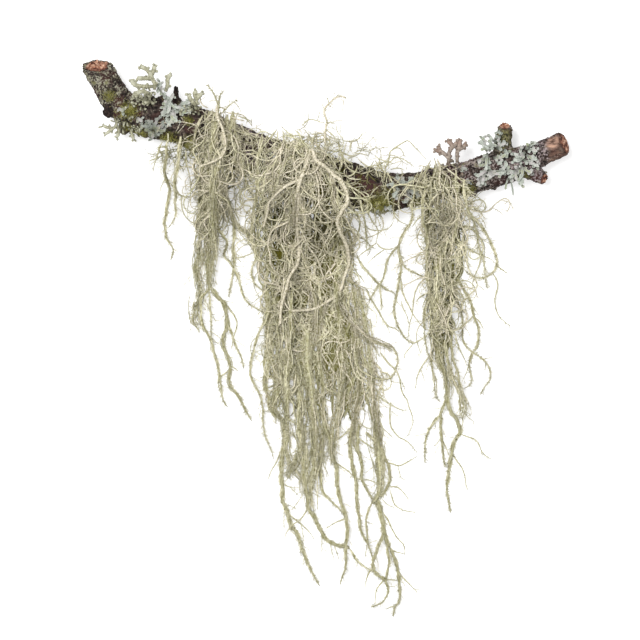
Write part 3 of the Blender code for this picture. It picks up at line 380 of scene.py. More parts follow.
# Tube lichens: width of an arm and its forks in pixels, then the arms
TUBES = {
    "tube_lichen_left": (5.8, """
    155,90 0,-6 -3,-6 -2,-6; 151,76 -4,-6 -6,-3; 152,77 2,-6 1,-5; 152,80 -6,-1 -8,0; 154,87
    -8,0 -9,-1 -6,-5; 166,92 2,-7 0,-5 3,-6; 150,94 -7,-2 -6,2; 148,99 -7,0 -6,-2; 150,102
    -6,1"""),
    "tube_lichen_left_lower": (4.2, """
    115,119 2,6 -5,5 -7,5; 116,128 -7,0 -6,-2; 118,126 1,7 -2,5; 131,129 1,5 2,6"""),
    "tube_lichen_grey": (5.6, """
    196,110 0,-6 2,-6 5,-5; 197,101 -2,-6 1,-4; 196,106 -5,-6 -2,-5"""),
    "tube_lichen_brown": (5.8, """
    448,164 0,-6 -7,-6 -6,-1; 449,163 0,-10 3,-7 -5,-5; 451,149 4,-4 2,-3; 457,163 0,-10 2,-6
    1,-7; 458,151 5,-4 3,-3; 441,152 -3,-5"""),
}
# Low knobs that crowd the bark: piece, centre, half width, half height, number
KNOBS = [
    ("tube_lichen_left", 144, 99, 12, 10, 56), ("tube_lichen_left", 132, 110, 9, 8, 8),
    ("tube_lichen_left", 186, 108, 9, 6, 14),
    ("tube_lichen_left_lower", 121, 124, 8, 6, 20), ("tube_lichen_left_lower", 137, 132, 8, 6, 18),
    ("tube_lichen_grey", 194, 111, 8, 5, 14), ("tube_lichen_brown", 449, 166, 9, 5, 16),
    ("tube_lichen_brown", 459, 172, 9, 7, 14),
]
# Moss: centre in pixels, radius in pixels, number of blades, and length in millimetres
MOSS = [
    (129, 111, 9, 900, 1.3), (127, 128, 5, 200, 1.2), (142, 132, 6, 340, 1.3),
    (189, 121, 5, 160, 1.0), (263, 176, 12, 500, 1.3), (380, 205, 16, 900, 1.7),
    (467, 189, 8, 320, 1.3), (501, 147, 7, 260, 1.0), (416, 203, 8, 200, 1.3),
    (168, 140, 9, 300, 1.6), (190, 146, 11, 420, 1.6), (243, 170, 10, 300, 1.4),
    (110, 96, 7, 200, 0.8), (526, 176, 5, 120, 1.0), (345, 150, 10, 200, 1.2),
]
# Pixel x along the twig, the share of pale crust on the bark there, and how lilac it is
CRUST = [(80, 0.29, 0.1), (128, 0.27, 0.1), (150, 0.12, 0.2), (175, 0.06, 0.2), (205, 0.05, 0.5),
         (235, 0.26, 1.0), (272, 0.26, 1.0), (300, 0.16, 0.5), (350, 0.10, 0.3), (385, 0.12, 0.2),
         (430, 0.24, 0.7), (455, 0.33, 0.8), (480, 0.26, 0.5), (520, 0.28, 0.8), (548, 0.29, 0.8),
         (560, 0.12, 0.4)]


# Routes and places


def at(x, y):
    """The place in metres of a pixel of the flat view."""
    return (np.asarray(x) - ORIGIN_PX[0]) * PX, (ORIGIN_PX[1] - np.asarray(y)) * PX


def point(x, y, height):
    return Vector((*at(x, y), height))


def placed(route, height):
    """Rows in metres for a route in pixels and its heights."""
    return np.column_stack([*at(route[:, 0], route[:, 1]), height])


def parse(text):
    """Rows of pixel x and y from a first place and the steps that follow it."""
    steps = [[float(v) for v in pair.split(",")] for pair in text.split()]
    return np.round(np.cumsum(steps, axis=0), 1)


def curve(points, step):
    """Rows every step or so on a smooth curve through the given rows."""
    rows = np.array(points, float)
    padded = np.vstack([2 * rows[0] - rows[1], rows, 2 * rows[-1] - rows[-2]])
    out = []
    for i in range(1, len(rows)):
        a, b, c, d = padded[i - 1 : i + 3]
        count = max(1, round(float(np.linalg.norm((c - b)[:2])) / step))
        t = (np.arange(count) / count)[:, None]
        out.append(0.5 * (2 * b + (c - a) * t + (2 * a - 5 * b + 4 * c - d) * t**2
                          + (3 * b - a - 3 * c + d) * t**3))
    out.append(rows[-1:])
    return np.vstack(out)


def lengths(route):
    return np.concatenate([[0], np.cumsum(np.linalg.norm(np.diff(route, axis=0), axis=1))])


def sampled(rows, run, marks):
    """Rows at the marks along a run."""
    return np.column_stack([np.interp(marks, run, column) for column in rows.T])


def even(route, step):
    """The same route with rows an equal way apart."""
    run = lengths(route)
    count = max(3, int(round(run[-1] / step)) + 1)
    return sampled(route, run, np.linspace(0, run[-1], count))


def toward(heading, length):
    return length * np.array([math.cos(heading), math.sin(heading)])


def unit(rows):
    return rows / (np.linalg.norm(rows, axis=1)[:, None] + 1e-12)


def frames(ahead):
    """Unit vectors ahead, to the side and up, for rows that point ahead."""
    ahead = unit(ahead)
    side = unit(np.cross(ahead, (0, 0, 1.0)))
    return ahead, side, np.cross(side, ahead)


def spot_in(chance, x, y, half_width, half_height):
    """A random place in an oval."""
    turn = chance.uniform(0, math.tau)
    out = math.sqrt(chance.uniform(0, 1))
    return np.array([x + half_width * out * math.cos(turn),
                     y + half_height * out * math.sin(turn)])


def cells(route):
    """The rows and columns of the flat view that a route runs through."""
    return tuple(np.clip(np.rint(route[:, k]).astype(int), 0, VIEW - 1) for k in (1, 0))


def sloped(need, route, fall):
    """The lowest heights that reach need and slope no steeper than fall."""
    run = lengths(route) * PX
    return (need - fall * np.abs(run[:, None] - run)).max(axis=1)


def twig_rows(step):
    """Rows of pixel x, pixel y, radius in metres and centre height along the twig."""
    return curve([(x, y, r * PX, r * PX * RESTING + lift) for x, y, r, lift in TWIG], step)


def nearest_row(line, spot):
    return line[np.argmin(np.hypot(line[:, 0] - spot[0], line[:, 1] - spot[1]))]


def stub_rows(line):
    """Rows like the twig's along the side stubs."""
    made = []
    for start, end, start_radius, end_radius, rise in STUBS:
        low = nearest_row(line, start)[3]
        for share in np.linspace(0, 1, 14):
            made.append((start[0] + (end[0] - start[0]) * share,
                         start[1] + (end[1] - start[1]) * share,
                         (start_radius + (end_radius - start_radius) * share) * PX,
                         low + rise * share))
    return made


# Heights


def tree_of(names):
    """A search tree of the CAD nodes with these names."""
    points, faces = [], []
    for name in names:
        mesh = bpy.data.objects[name].data
        first = len(points)
        points += [vert.co.copy() for vert in mesh.vertices]
        faces += [[first + corner for corner in face.vertices] for face in mesh.polygons]
    return BVHTree.FromPolygons(points, faces)


def middle_height(tree, x, y):
    """The height halfway through a CAD node at a place in metres, or None beside it."""
    hit = tree.ray_cast(Vector((x, y, ABOVE)), DOWN)[0]
    if not hit:
        return None
    under = tree.ray_cast(hit + DOWN * 1e-5, DOWN)[0]
    return (hit.z + under.z) / 2 if under else hit.z


class Bed:
    """The height of what lies on the floor, for every pixel of the flat view."""

    MARGIN = 12
    SLOPE = 0.25
    ROUNDS = 8

    def __init__(self, line):
        self.height = np.zeros((VIEW, VIEW))
        rows, columns = np.mgrid[0:VIEW, 0:VIEW]
        for x, y, radius, centre in [*line, *stub_rows(line)]:
            reach = int(radius / PX) + 2
            ys = slice(max(int(y) - reach, 0), int(y) + reach)
            xs = slice(max(int(x) - reach, 0), int(x) + reach)
            away = np.hypot(columns[ys, xs] - x, rows[ys, xs] - y) * PX
            over = centre + np.sqrt(np.maximum(radius**2 - away**2, 0))
            spot = self.height[ys, xs]
            spot[away < radius] = np.maximum(spot, over)[away < radius]
        self.bare = self.height.copy()
        self.base = self.bare

    def carry(self, name):
        """Makes a plant's CAD node the base of all that is laid past the bark."""
        self.base = self.bare.copy()
        if name is None:
            return
        tree = tree_of([name])
        box = np.array([tuple(corner) for corner in bpy.data.objects[name].bound_box])
        left, right = (int(x / PX + ORIGIN_PX[0]) for x in (box[:, 0].min(), box[:, 0].max()))
        top, bottom = (int(ORIGIN_PX[1] - y / PX) for y in (box[:, 1].max(), box[:, 1].min()))
        found = []
        for row in range(top, bottom + 2):
            for column in range(left, right + 2):
                height = middle_height(tree, *at(column, row))
                if height is not None:
                    found.append((column, row, height))
        found = np.array(found)
        for row in range(top - self.MARGIN, bottom + self.MARGIN):
            for column in range(left - self.MARGIN, right + self.MARGIN):
                if self.bare[row, column] == 0:
                    away = np.hypot(found[:, 0] - column, found[:, 1] - row)
                    self.base[row, column] = found[away.argmin(), 2]

    def lay(self, route, radius, packing):
        """Heights for a route that is laid on the bed, which then rises by it."""
        need = np.maximum(self.height, self.base)[cells(route)] + radius
        height = sloped(need, route, self.SLOPE)
        for _ in range(self.ROUNDS):
            even_out = height.copy()
            even_out[1:-1] = (height[:-2] + height[1:-1] + height[2:]) / 3
            height = np.maximum(even_out, need)
        fine = even(np.column_stack([route, height + radius]), 0.6)
        here = self.height[cells(fine)]
        np.maximum.at(self.height, cells(fine), here + (fine[:, 2] - here) * packing)
        return height


class Canopy:
    """Where the CAD part's beards are: their top over the flat view, and each one's strands."""

    CELL = 2
    ROUNDS = 6

    def __init__(self, ground):
        self.ground = ground
        self.nodes = {piece: tree_of([piece]) for piece in BEARDS}
        whole = tree_of(BEARDS)
        count = VIEW // self.CELL
        top = np.zeros((count, count))
        for row in range(count):
            for column in range(count):
                x, y = at((column + 0.5) * self.CELL, (row + 0.5) * self.CELL)
                hit = whole.ray_cast(Vector((x, y, ABOVE)), DOWN)[0]
                if hit:
                    top[row, column] = hit.z
        beside = ((0, 1), (0, -1), (1, 0), (-1, 0))
        for _ in range(5):
            near = np.max([np.roll(top, shift, axis=(0, 1))
                           for shift in (*beside, (1, 1), (-1, -1))], axis=0)
            top = np.where(top > 0, top, near * 0.96)
        for _ in range(2):
            top = sum(np.roll(top, shift, axis=(0, 1)) for shift in ((0, 0), *beside)) / 5
        self.top = top.repeat(self.CELL, axis=0).repeat(self.CELL, axis=1)

    def perch(self, piece, route):
        """The height of the CAD node's own strand along a route, else the top."""
        heights = np.array([middle_height(self.nodes[piece], x, y)
                            for x, y in zip(*at(route[:, 0], route[:, 1]))], float)
        usual = self.top[cells(route)]
        for i in range(len(route)):
            around = heights[max(i - 5, 0) : i + 6]
            around = around[~np.isnan(around)]
            if len(around):
                usual[i] = np.median(around)
        return usual

    def drape(self, route, radius, level, start=None, wanted=None):
        """Heights for a route at a share of the top, above all that lies under the beards."""
        lowest = self.ground[cells(route)] + radius
        need = level * self.top[cells(route)] if wanted is None else wanted
        height = sloped(np.maximum(need, lowest), route, FALL)
        for _ in range(self.ROUNDS):
            height[1:-1] = (height[:-2] + height[1:-1] + height[2:]) / 3
        height = np.maximum(height, lowest)
        if start is not None:
            height = height + (start - height[0]) * np.exp(-lengths(route) / 6)
        return np.maximum(height, radius)


# Meshes


def ring_faces(rings, sides):
    """The faces between each ring of points and the next."""
    spokes = np.arange(sides)
    first = np.arange(rings)[:, None] * sides
    here, after = first + spokes, first + (spokes + 1) % sides
    return np.stack([here, after, after + sides, here + sides], -1).reshape(-1, 4)


def set_values(mesh, name, values):
    """Gives each point of a mesh a value that its material reads by name."""
    layer = mesh.attributes.new(name, "FLOAT", "POINT")
    layer.data.foreach_set("value", np.asarray(values, np.float32))


class Skein:
    """Gathers closed tubes, lobes and hairs of one piece, with two values for each point: its
    painted shade and its paleness or rim share.
    """

    LOWEST = 0.02 * MM
    NEARLY_UP = (0.11, 0.07, 1.0)

    def __init__(self):
        self.points, self.corners, self.sizes, self.cover, self.pale = [], [], [], [], []
        self.count = 0

    def add(self, points, faces, cover, pale):
        """Adds points and their faces, in arrays of faces with as many corners each."""
        for alike in faces:
            self.corners.append(alike + self.count)
            self.sizes.append(np.full(len(alike), alike.shape[1]))
        self.points.append(points)
        self.cover.append(cover)
        self.pale.append(pale)
        self.count += len(points)

    def tube(self, path, radius, sides, cover, pale):
        """A tube along the path, flat at its start and pointed at its end."""
        last = len(path) - 2
        _, side, up = frames(np.gradient(path, axis=0))
        spokes = np.arange(sides)
        turns = math.tau * spokes / sides
        ring = (side[:-1, None] * np.cos(turns)[None, :, None]
                + up[:-1, None] * np.sin(turns)[None, :, None])
        ring = path[:-1, None] + ring * radius[:-1, None, None]
        points = np.vstack([ring.reshape(-1, 3), path[-1:]])
        tip = np.column_stack([last * sides + spokes, last * sides + (spokes + 1) % sides,
                               np.full(sides, (last + 1) * sides)])
        values = [np.append(np.repeat(rows[:-1], sides), rows[-1]) for rows in (cover, pale)]
        self.add(points, [ring_faces(last, sides), tip, spokes[::-1][None, :]], *values)

    def hairs(self, roots, heading, length, radius, cover, pale):
        """Three-sided pointed hairs, all at once."""
        side = unit(np.cross(heading, self.NEARLY_UP))
        up = np.cross(side, heading)
        ring = [roots + (side * math.cos(turn) + up * math.sin(turn)) * radius[:, None]
                for turn in (0, math.tau / 3, 2 * math.tau / 3)]
        points = np.stack([*ring, roots + heading * length[:, None]], 1)
        faces = np.array([[0, 1, 3], [1, 2, 3], [2, 0, 3], [0, 2, 1]])
        corners = (np.arange(len(roots))[:, None, None] * 4 + faces[None]).reshape(-1, 3)
        self.add(points.reshape(-1, 3), [corners], np.repeat(cover, 4), np.repeat(pale, 4))

    def mesh(self, name, labels=("cover", "pale")):
        made = bpy.data.meshes.new(name)
        points = np.vstack(self.points)
        points[:, 2] = np.maximum(points[:, 2], self.LOWEST)
        sizes = np.concatenate(self.sizes)
        corners = np.concatenate([faces.ravel() for faces in self.corners])
        made.vertices.add(len(points))
        made.vertices.foreach_set("co", points.ravel())
        made.loops.add(len(corners))
        made.loops.foreach_set("vertex_index", corners.astype(np.int32))
        made.polygons.add(len(sizes))
        starts = np.concatenate([[0], np.cumsum(sizes)[:-1]])
        made.polygons.foreach_set("loop_start", starts.astype(np.int32))
        made.update(calc_edges=True)
        for label, values in zip(labels, (self.cover, self.pale)):
            set_values(made, label, np.concatenate(values))
        made.shade_smooth()
        return made


def put(name, mesh, surface):
    """A piece of the object, riding on its one body."""
    mesh.materials.append(surface)
    made = bpy.data.objects.new(name, mesh)
    bpy.context.scene.collection.objects.link(made)
    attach(made, "root")
    return made


# Materials


class Surface:
    """A material in the making."""

    def __init__(self, name, roughness, gloss=0.1):
        self.made = bpy.data.materials.new(name)
        self.made.use_nodes = True
        self.inputs = self.made.node_tree.nodes["Principled BSDF"].inputs
        self.inputs["Roughness"].default_value = roughness
        self.inputs["Specular IOR Level"].default_value = gloss

    def node(self, kind, **settings):
        """A node with its settings and the values of its sockets."""
        made = self.made.node_tree.nodes.new("ShaderNode" + kind)
        for key, value in settings.items():
            if key in made.inputs:
                made.inputs[key].default_value = value
            else:
                setattr(made, key, value)
        return made

    def feed(self, socket, value):
        """Gives a socket a number, a colour or the output of another node."""
        if isinstance(value, tuple):
            socket.default_value = (*value, 1.0)
        elif isinstance(value, float):
            socket.default_value = value
        else:
            self.made.node_tree.links.new(value, socket)

    def grain(self, scale, detail=3.0, stretch=None):
        """Noise over the object's own coordinates, from 0 to 1, with scale waves a metre."""
        source = self.node("TexCoord").outputs["Object"]
        if stretch:
            mapping = self.node("Mapping", Scale=stretch)
            self.feed(mapping.inputs["Vector"], source)
            source = mapping.outputs["Vector"]
        made = self.node("TexNoise", Scale=scale, Detail=detail)
        self.feed(made.inputs["Vector"], source)
        return made.outputs["Fac"]

    def ramp(self, source, *stops):
        """Colours by position along a source."""
        made = self.node("ValToRGB")
        while len(made.color_ramp.elements) < len(stops):
            made.color_ramp.elements.new(0.5)
        for element, (position, colour) in zip(made.color_ramp.elements, stops):
            element.position = position
            element.color = (*colour, 1.0)
        self.feed(made.inputs["Fac"], source)
        return made.outputs["Color"]

    def mask(self, source, start, end, most=1.0):
        """A share that rises from nothing at the start to the most at the end."""
        return self.ramp(source, (start, (0, 0, 0)), (end, (most, most, most)))

    def mixed(self, share, first, second):
        made = self.node("Mix", data_type="RGBA")
        for socket, value in ((0, share), (6, first), (7, second)):
            self.feed(made.inputs[socket], value)
        return made.outputs[2]

    def arithmetic(self, operation, *values):
        made = self.node("Math", operation=operation)
        for socket, value in zip(made.inputs, values):
            self.feed(socket, value)
        return made.outputs[0]

    def value(self, name):
        """The value that the points of a mesh carry under a name."""
        return self.node("Attribute", attribute_name=name).outputs["Fac"]

    def done(self, colour, grain=None, relief=0.15 * MM):
        """The material with its colour and, from a grain, its fine relief."""
        self.feed(self.inputs["Base Color"], colour)
        if grain:
            bump = self.node("Bump", Strength=0.6, Distance=relief)
            self.feed(bump.inputs["Height"], grain)
            self.feed(self.inputs["Normal"], bump.outputs["Normal"])
        return self.made


def beard_material():
    """Pale grey-green strands, pinkish white where they are old, and dark olive painted shade
    where they lie deep among the others.
    """
    look = Surface("beard_lichen", 0.95, 0.02)
    blotches = look.ramp(look.grain(700, 2.0), (0.3, (0.47, 0.455, 0.255)),
                         (0.7, (0.82, 0.795, 0.585)))
    old = look.ramp(look.grain(1500, 2.0), (0.35, (0.48, 0.43, 0.32)),
                    (0.62, (0.82, 0.75, 0.63)))
    aged = look.mixed(look.value("pale"), blotches, old)
    specks = look.ramp(look.grain(1900, 1.0), (0.30, (1, 1, 1)), (0.42, (0, 0, 0)))
    specked = look.mixed(specks, aged, (0.16, 0.148, 0.045))
    # Painted shade: strands that lie deep are mixed toward dark olive, for the shade inside the
    # beard
    inner = look.mixed(look.value("cover"), specked, (0.085, 0.078, 0.011))
    return look.done(inner, look.grain(5200, 2.0))


def bark_material():
    """Dark bark with a fine-grained pale crust, and bare wood near the cut end."""
    look = Surface("bark", 0.85)
    dark = look.ramp(look.grain(900, 5.0), (0.38, (0.009, 0.007, 0.006)),
                     (0.52, (0.036, 0.027, 0.023)), (0.68, (0.125, 0.095, 0.078)))
    reddish = look.mixed(look.mask(look.grain(170, 2.0), 0.50, 0.64), dark,
                         (0.050, 0.023, 0.020))
    grey = look.ramp(look.grain(300, 2.0), (0.40, (0.22, 0.215, 0.130)),
                     (0.60, (0.34, 0.33, 0.25)))
    tone = look.mixed(look.value("lilac"), grey, (0.34, 0.265, 0.285))
    patches = look.arithmetic("MULTIPLY_ADD", look.grain(420), 0.8, look.value("crust"))
    share = look.arithmetic("ADD", look.grain(1500, 4.0), patches)
    crust = look.mask(look.arithmetic("MULTIPLY", share, 0.5), 0.58, 0.66)
    crusted = look.mixed(crust, reddish, tone)
    flecked = look.mixed(look.mask(look.grain(420, 4.0), 0.60, 0.70, 0.8), crusted,
                         (0.125, 0.122, 0.045))
    olive = look.ramp(look.grain(1300, 4.0), (0.40, (0.016, 0.015, 0.006)),
                      (0.62, (0.19, 0.18, 0.075)))
    mossy = look.mixed(look.value("mossy"), flecked, olive)
    wood = look.ramp(look.grain(1100, 3.0, (0.22, 1, 1)), (0.34, (0.075, 0.042, 0.030)),
                     (0.50, (0.25, 0.155, 0.115)), (0.68, (0.50, 0.31, 0.22)))
    bare = look.mixed(look.value("bare"), mossy, wood)
    scales = look.ramp(look.grain(1900, 2.0), (0.45, (0.010, 0.008, 0.008)),
                       (0.65, (0.060, 0.040, 0.032)))
    buds = look.mixed(look.value("bud"), bare, scales)
    return look.done(buds, look.grain(3000, 4.0), 0.35 * MM)


def wood_material():
    look = Surface("cut_wood", 0.75)
    colour = look.ramp(look.grain(900, 4.0), (0.40, (0.055, 0.022, 0.016)),
                       (0.50, (0.32, 0.135, 0.08)), (0.66, (0.64, 0.43, 0.31)))
    rim = look.mixed(look.value("rim"), colour, (0.10, 0.045, 0.032))
    return look.done(rim, look.grain(3500, 4.0), 0.3 * MM)


def leaf_material():
    """Mint grey above, whiter at the rim of each lobe, and mixed toward near black by painted
    shade toward each lobe's base.
    """
    look = Surface("leaf_lichen", 0.8)
    face = look.ramp(look.grain(1300), (0.3, (0.18, 0.205, 0.165)),
                     (0.52, (0.31, 0.34, 0.295)), (0.72, (0.48, 0.505, 0.46)))
    tinted = look.mixed(look.mask(look.grain(330, 2.0), 0.50, 0.60, 0.9), face,
                        (0.44, 0.395, 0.40))
    greened = look.mixed(look.mask(look.grain(270, 2.0), 0.54, 0.64, 0.7), tinted,
                         (0.24, 0.27, 0.11))
    rim = look.mixed(look.value("rim"), greened, (0.50, 0.52, 0.47))
    # Painted shade: mixed toward near black where a lobe lies under the others
    deep = look.mixed(look.value("cover"), rim, (0.05, 0.05, 0.035))
    return look.done(deep, look.grain(4500))


def tube_material(name, low, high, tip):
    look = Surface(name, 0.8)
    face = look.ramp(look.grain(1400), (0.3, low), (0.7, high))
    ends = look.mixed(look.value("pale"), face, tip)
    # Painted shade: mixed toward near black where an arm meets the bark
    deep = look.mixed(look.value("cover"), ends, (0.045, 0.040, 0.022))
    return look.done(deep, look.grain(4200))


def moss_material():
    look = Surface("moss", 0.85)
    return look.done(look.ramp(look.grain(500), (0.3, (0.11, 0.102, 0.024)),
                               (0.50, (0.29, 0.275, 0.075)), (0.70, (0.52, 0.50, 0.20))))


def floor_material():
    look = Surface("floor", 0.9, 0.0)
    look.feed(look.inputs["Emission Color"], (1, 1, 1))
    look.feed(look.inputs["Emission Strength"], FLOOR_GLOW)
    return look.done(look.ramp(look.grain(40, 2.0), (0.2, (0.58, 0.58, 0.58)),
                               (0.8, (0.61, 0.61, 0.61))))


# Beards


def edge(points, y):
    """The x of a dense part's edge at y."""
    return np.interp(y, points[:, 1], points[:, 0])


EDGES = [(parse(left), parse(right)) for left, right, *_ in MASSES]


def crowded(x, y):
    """Whether a place is in one of the dense parts."""
    return any(left[0, 1] < y < left[-1, 1] and edge(left, y) < x < edge(right, y)
               for left, right in EDGES)


def clear_of_gaps(route):
    """Moves a route sideways out of the gaps."""
    for x, y, half_width, half_height in GAPS:
        off = (route[:, 1] - y) / half_height
        inside = np.abs(off) < 1
        reach = 1.25 * half_width * np.sqrt(np.maximum(1 - off**2, 0))
        aside = route[:, 0] - x
        side = 1.0 if aside[inside].sum() >= 0 else -1.0
        moved = inside & (np.abs(aside) < reach)
        route[moved, 0] = x + side * reach[moved]
    return route


def ramble(chance, start, heading, length, pull, wild, edges=None):
    """A wavering route that turns towards the foot of the page, between two edges."""
    rows = [np.asarray(start, float)]
    turn = 0.0
    for _ in range(max(3, int(length / RAMBLE_STEP))):
        turn = KEPT_TURN * turn + chance.normal(0, wild)
        heading += turn + pull * math.sin(math.pi / 2 - heading)
        if edges:
            x, y = rows[-1]
            outside = float(x > edge(edges[1], y)) - float(x < edge(edges[0], y))
            heading += EDGE_TURN * outside
        rows.append(rows[-1] + toward(heading, RAMBLE_STEP))
    return np.array(rows)


class Beard:
    """All strands of all beards, laid in order, then meshed piece by piece."""

    def __init__(self, canopy, chance):
        self.canopy = canopy
        self.chance = chance
        self.laid = []

    def strand(self, piece, route, thick, fine, pale, depth=0.0, hairy=0.0, step=2.4,
               start=None, wanted=None):
        """One strand. depth is how hidden it lies: 0 in front, 1 deep inside, and it sets the
        strand's painted shade.
        """
        if wanted is not None:
            route = np.column_stack([route, wanted])
        route = even(route, step)
        share = np.linspace(0, 1, len(route))
        radius = (fine + (thick - fine) * (1 - share**1.6)) * PX
        radius *= np.clip(0.4 + lengths(route) / 9, 0, 1)
        radius *= 1 + 0.09 * self.chance.normal(0, 1, len(route)).clip(-1.5, 1.5)
        if wanted is not None:
            route, wanted = route[:, :2], route[:, 2]
        height = self.canopy.drape(route, radius, 1.02 - 0.85 * depth, start, wanted)
        sides = next(count for least, count in SIDES if thick > least)
        if depth > HIDDEN:
            sides = SIDES[-1][1]
        shade = depth
        if depth > SHADY:
            spots = route[::max(1, len(route) // 5)]
            bark = self.canopy.ground[cells(spots)] > 0
            covered = np.mean([dark or crowded(*spot) for dark, spot in zip(bark, spots)])
            shade = 0.15 + (depth - 0.15) * covered**3
        self.laid.append((piece, route, height, radius, pale, shade, sides, hairy))
        return np.column_stack([route, height])

    def branches(self, piece, laid, spacing, reach, thick, pale, depth, hairy, until=0.95):
        """Side strands that leave a strand to either side and turn down."""
        route = laid[:, :2]
        run = lengths(route)
        mark = self.chance.uniform(0.3, 1.0) * spacing
        side = self.chance.choice((-1, 1))
        while mark < run[-1] * until:
            i = min(int(np.searchsorted(run, mark)), len(route) - 2)
            way = math.atan2(*(route[i + 1] - route[i])[::-1])
            made = ramble(self.chance, route[i], way + side * self.chance.uniform(0.5, 1.25),
                          self.chance.uniform(*reach) * (1.1 - 0.5 * mark / run[-1]), 0.07, 0.07)
            self.strand(piece, clear_of_gaps(made), thick, 0.2, pale, depth, hairy, 2.8,
                        laid[i, 2])
            if self.chance.uniform() < 0.8:
                side = -side
            mark += self.chance.uniform(0.5, 1.5) * spacing

    def tree(self, piece, start, heading, length, thick, pale, depth, spacing, hairy,
             edges=None, pull=0.10, wild=0.06, reach=(6, 24)):
        route = ramble(self.chance, start, heading, length, pull, wild, edges)
        if edges:
            route = clear_of_gaps(route)
        laid = self.strand(piece, route, thick, thick * 0.45, pale, depth, hairy, 3.0)
        self.branches(piece, laid, spacing, reach, thick * 0.62, pale, depth, hairy)

    def winders(self, piece, route, across, wanted, count, sway, taper, pale, depth, hairy):
        """Thin strands that wind about a route."""
        run = lengths(route)
        for _ in range(count):
            turn = math.tau * run / self.chance.uniform(13, 42) + self.chance.uniform(0, math.tau)
            reach = sway * self.chance.uniform(0.3, 1.0) * taper
            self.strand(piece, clear_of_gaps(route + across * (reach * np.sin(turn))[:, None]),
                        self.chance.uniform(0.5, 0.8), 0.25, pale * self.chance.uniform(0.4, 1.4),
                        self.chance.uniform(0, depth), hairy, 3.0,
                        wanted=wanted + 0.45 * PX * reach * np.cos(turn))

    def lock(self, piece, route, width, pale, free):
        """Strands side by side: a dark core and paler winders where the beard is dense, and one
        smoother strand where it hangs alone; the cores are darkened with painted shade. free is
        False where another lock goes on."""
        run = lengths(route)
        wanted = self.canopy.perch(piece, route)
        across = unit(np.column_stack([-np.gradient(route[:, 1]), np.gradient(route[:, 0])]))
        taper = np.clip(run / 14 + 0.5, 0, 1)
        if free:
            taper *= np.clip((run[-1] - run) / 40, 0.05, 1)
        on_bark = self.canopy.ground[cells(route[:1])][0] > 0
        body = run >= (min(12, run[-1] / 4) if on_bark else 0)
        if not crowded(*route[len(route) // 2]):
            fine = width * (0.12 if free else 0.26)
            laid = self.strand(piece, route[body], width * 0.29, fine, pale, 0.40, 1.6,
                               wanted=wanted[body])
            self.winders(piece, route, across, wanted, 1 + round(width / 1.25), width * 0.44,
                         taper, pale, 0.3, 1.3)
            return laid
        fine = 0.2 if free else width * 0.2
        laid = self.strand(piece, route[body], width * 0.24, fine, 0.1, 0.52, 1.0,
                           wanted=wanted[body])
        self.winders(piece, route, across, wanted, max(2, round(width / 0.8)), width * 0.56,
                     taper, pale, 0.35, 0.6)
        self.fringe(piece, route, across, wanted, width, pale)
        return laid

    def fringe(self, piece, route, across, wanted, width, pale):
        """Shorter strands that keep to a lock for a while, to either side of it."""
        chance = self.chance
        run = lengths(route)
        for _ in range(int(run[-1] / FRINGE_SPACING)):
            length = chance.uniform(30, 90)
            first = chance.uniform(-20, max(run[-1] - 25, 1))
            part = (run >= first) & (run <= first + length)
            if part.sum() < 8:
                continue
            aside = chance.normal(0, 0.5 * width + 1.2, 2)
            share = np.linspace(0, 1, part.sum())
            shift = aside[0] + (aside[1] - aside[0]) * share
            shift += chance.uniform(0.4, 1.4) * np.sin(share * length / chance.uniform(3, 9))
            laid = self.strand(piece, clear_of_gaps(route[part] + across[part] * shift[:, None]),
                               chance.uniform(0.45, 0.75), 0.25, pale * chance.uniform(0.2, 2.2),
                               chance.uniform(0, 0.5), 0.5, 3.2,
                               wanted=wanted[part] + chance.uniform(-0.4, 0.6) * MM)
            if chance.uniform() < 0.5:
                self.branches(piece, laid, 16, (6, 18), 0.42, pale, 0.1, 0.7)

    def hairs_of(self, skein, path, cover, pale, hairy):
        """Fine side hairs along a strand."""
        run = lengths(path) / PX
        count = int(run[-1] / HAIR_SPACING * hairy)
        if count < 1:
            return
        marks = np.sort(self.chance.uniform(0.02, 0.97, count)) * run[-1]
        ahead, side, up = frames(sampled(np.gradient(path, axis=0), run, marks))
        lean = np.radians(self.chance.uniform(35, 80, count))[:, None]
        turn = self.chance.choice((-1.0, 1.0), count)[:, None]
        lift = self.chance.uniform(-0.25, 0.75, count)[:, None]
        heading = ahead * np.cos(lean) + unit(side * turn + up * lift) * np.sin(lean)
        length = np.minimum((1.8 + self.chance.exponential(1.9, count)) * PX, 7 * PX)
        thick = self.chance.uniform(0.19, 0.32, count) * PX
        skein.hairs(sampled(path, run, marks), heading, length, thick,
                    np.interp(marks, run, cover), np.full(count, 0.25 + 0.4 * pale))

    def mesh(self, piece):
        skein = Skein()
        for name, route, height, radius, pale, depth, sides, hairy in self.laid:
            if name == piece:
                path = placed(route, height)
                cover = np.full(len(path), min(depth * 1.35, 1.0))
                skein.tube(path, radius, sides, cover, np.full(len(path), pale))
                self.hairs_of(skein, path, cover, pale, hairy)
        return skein.mesh(piece)


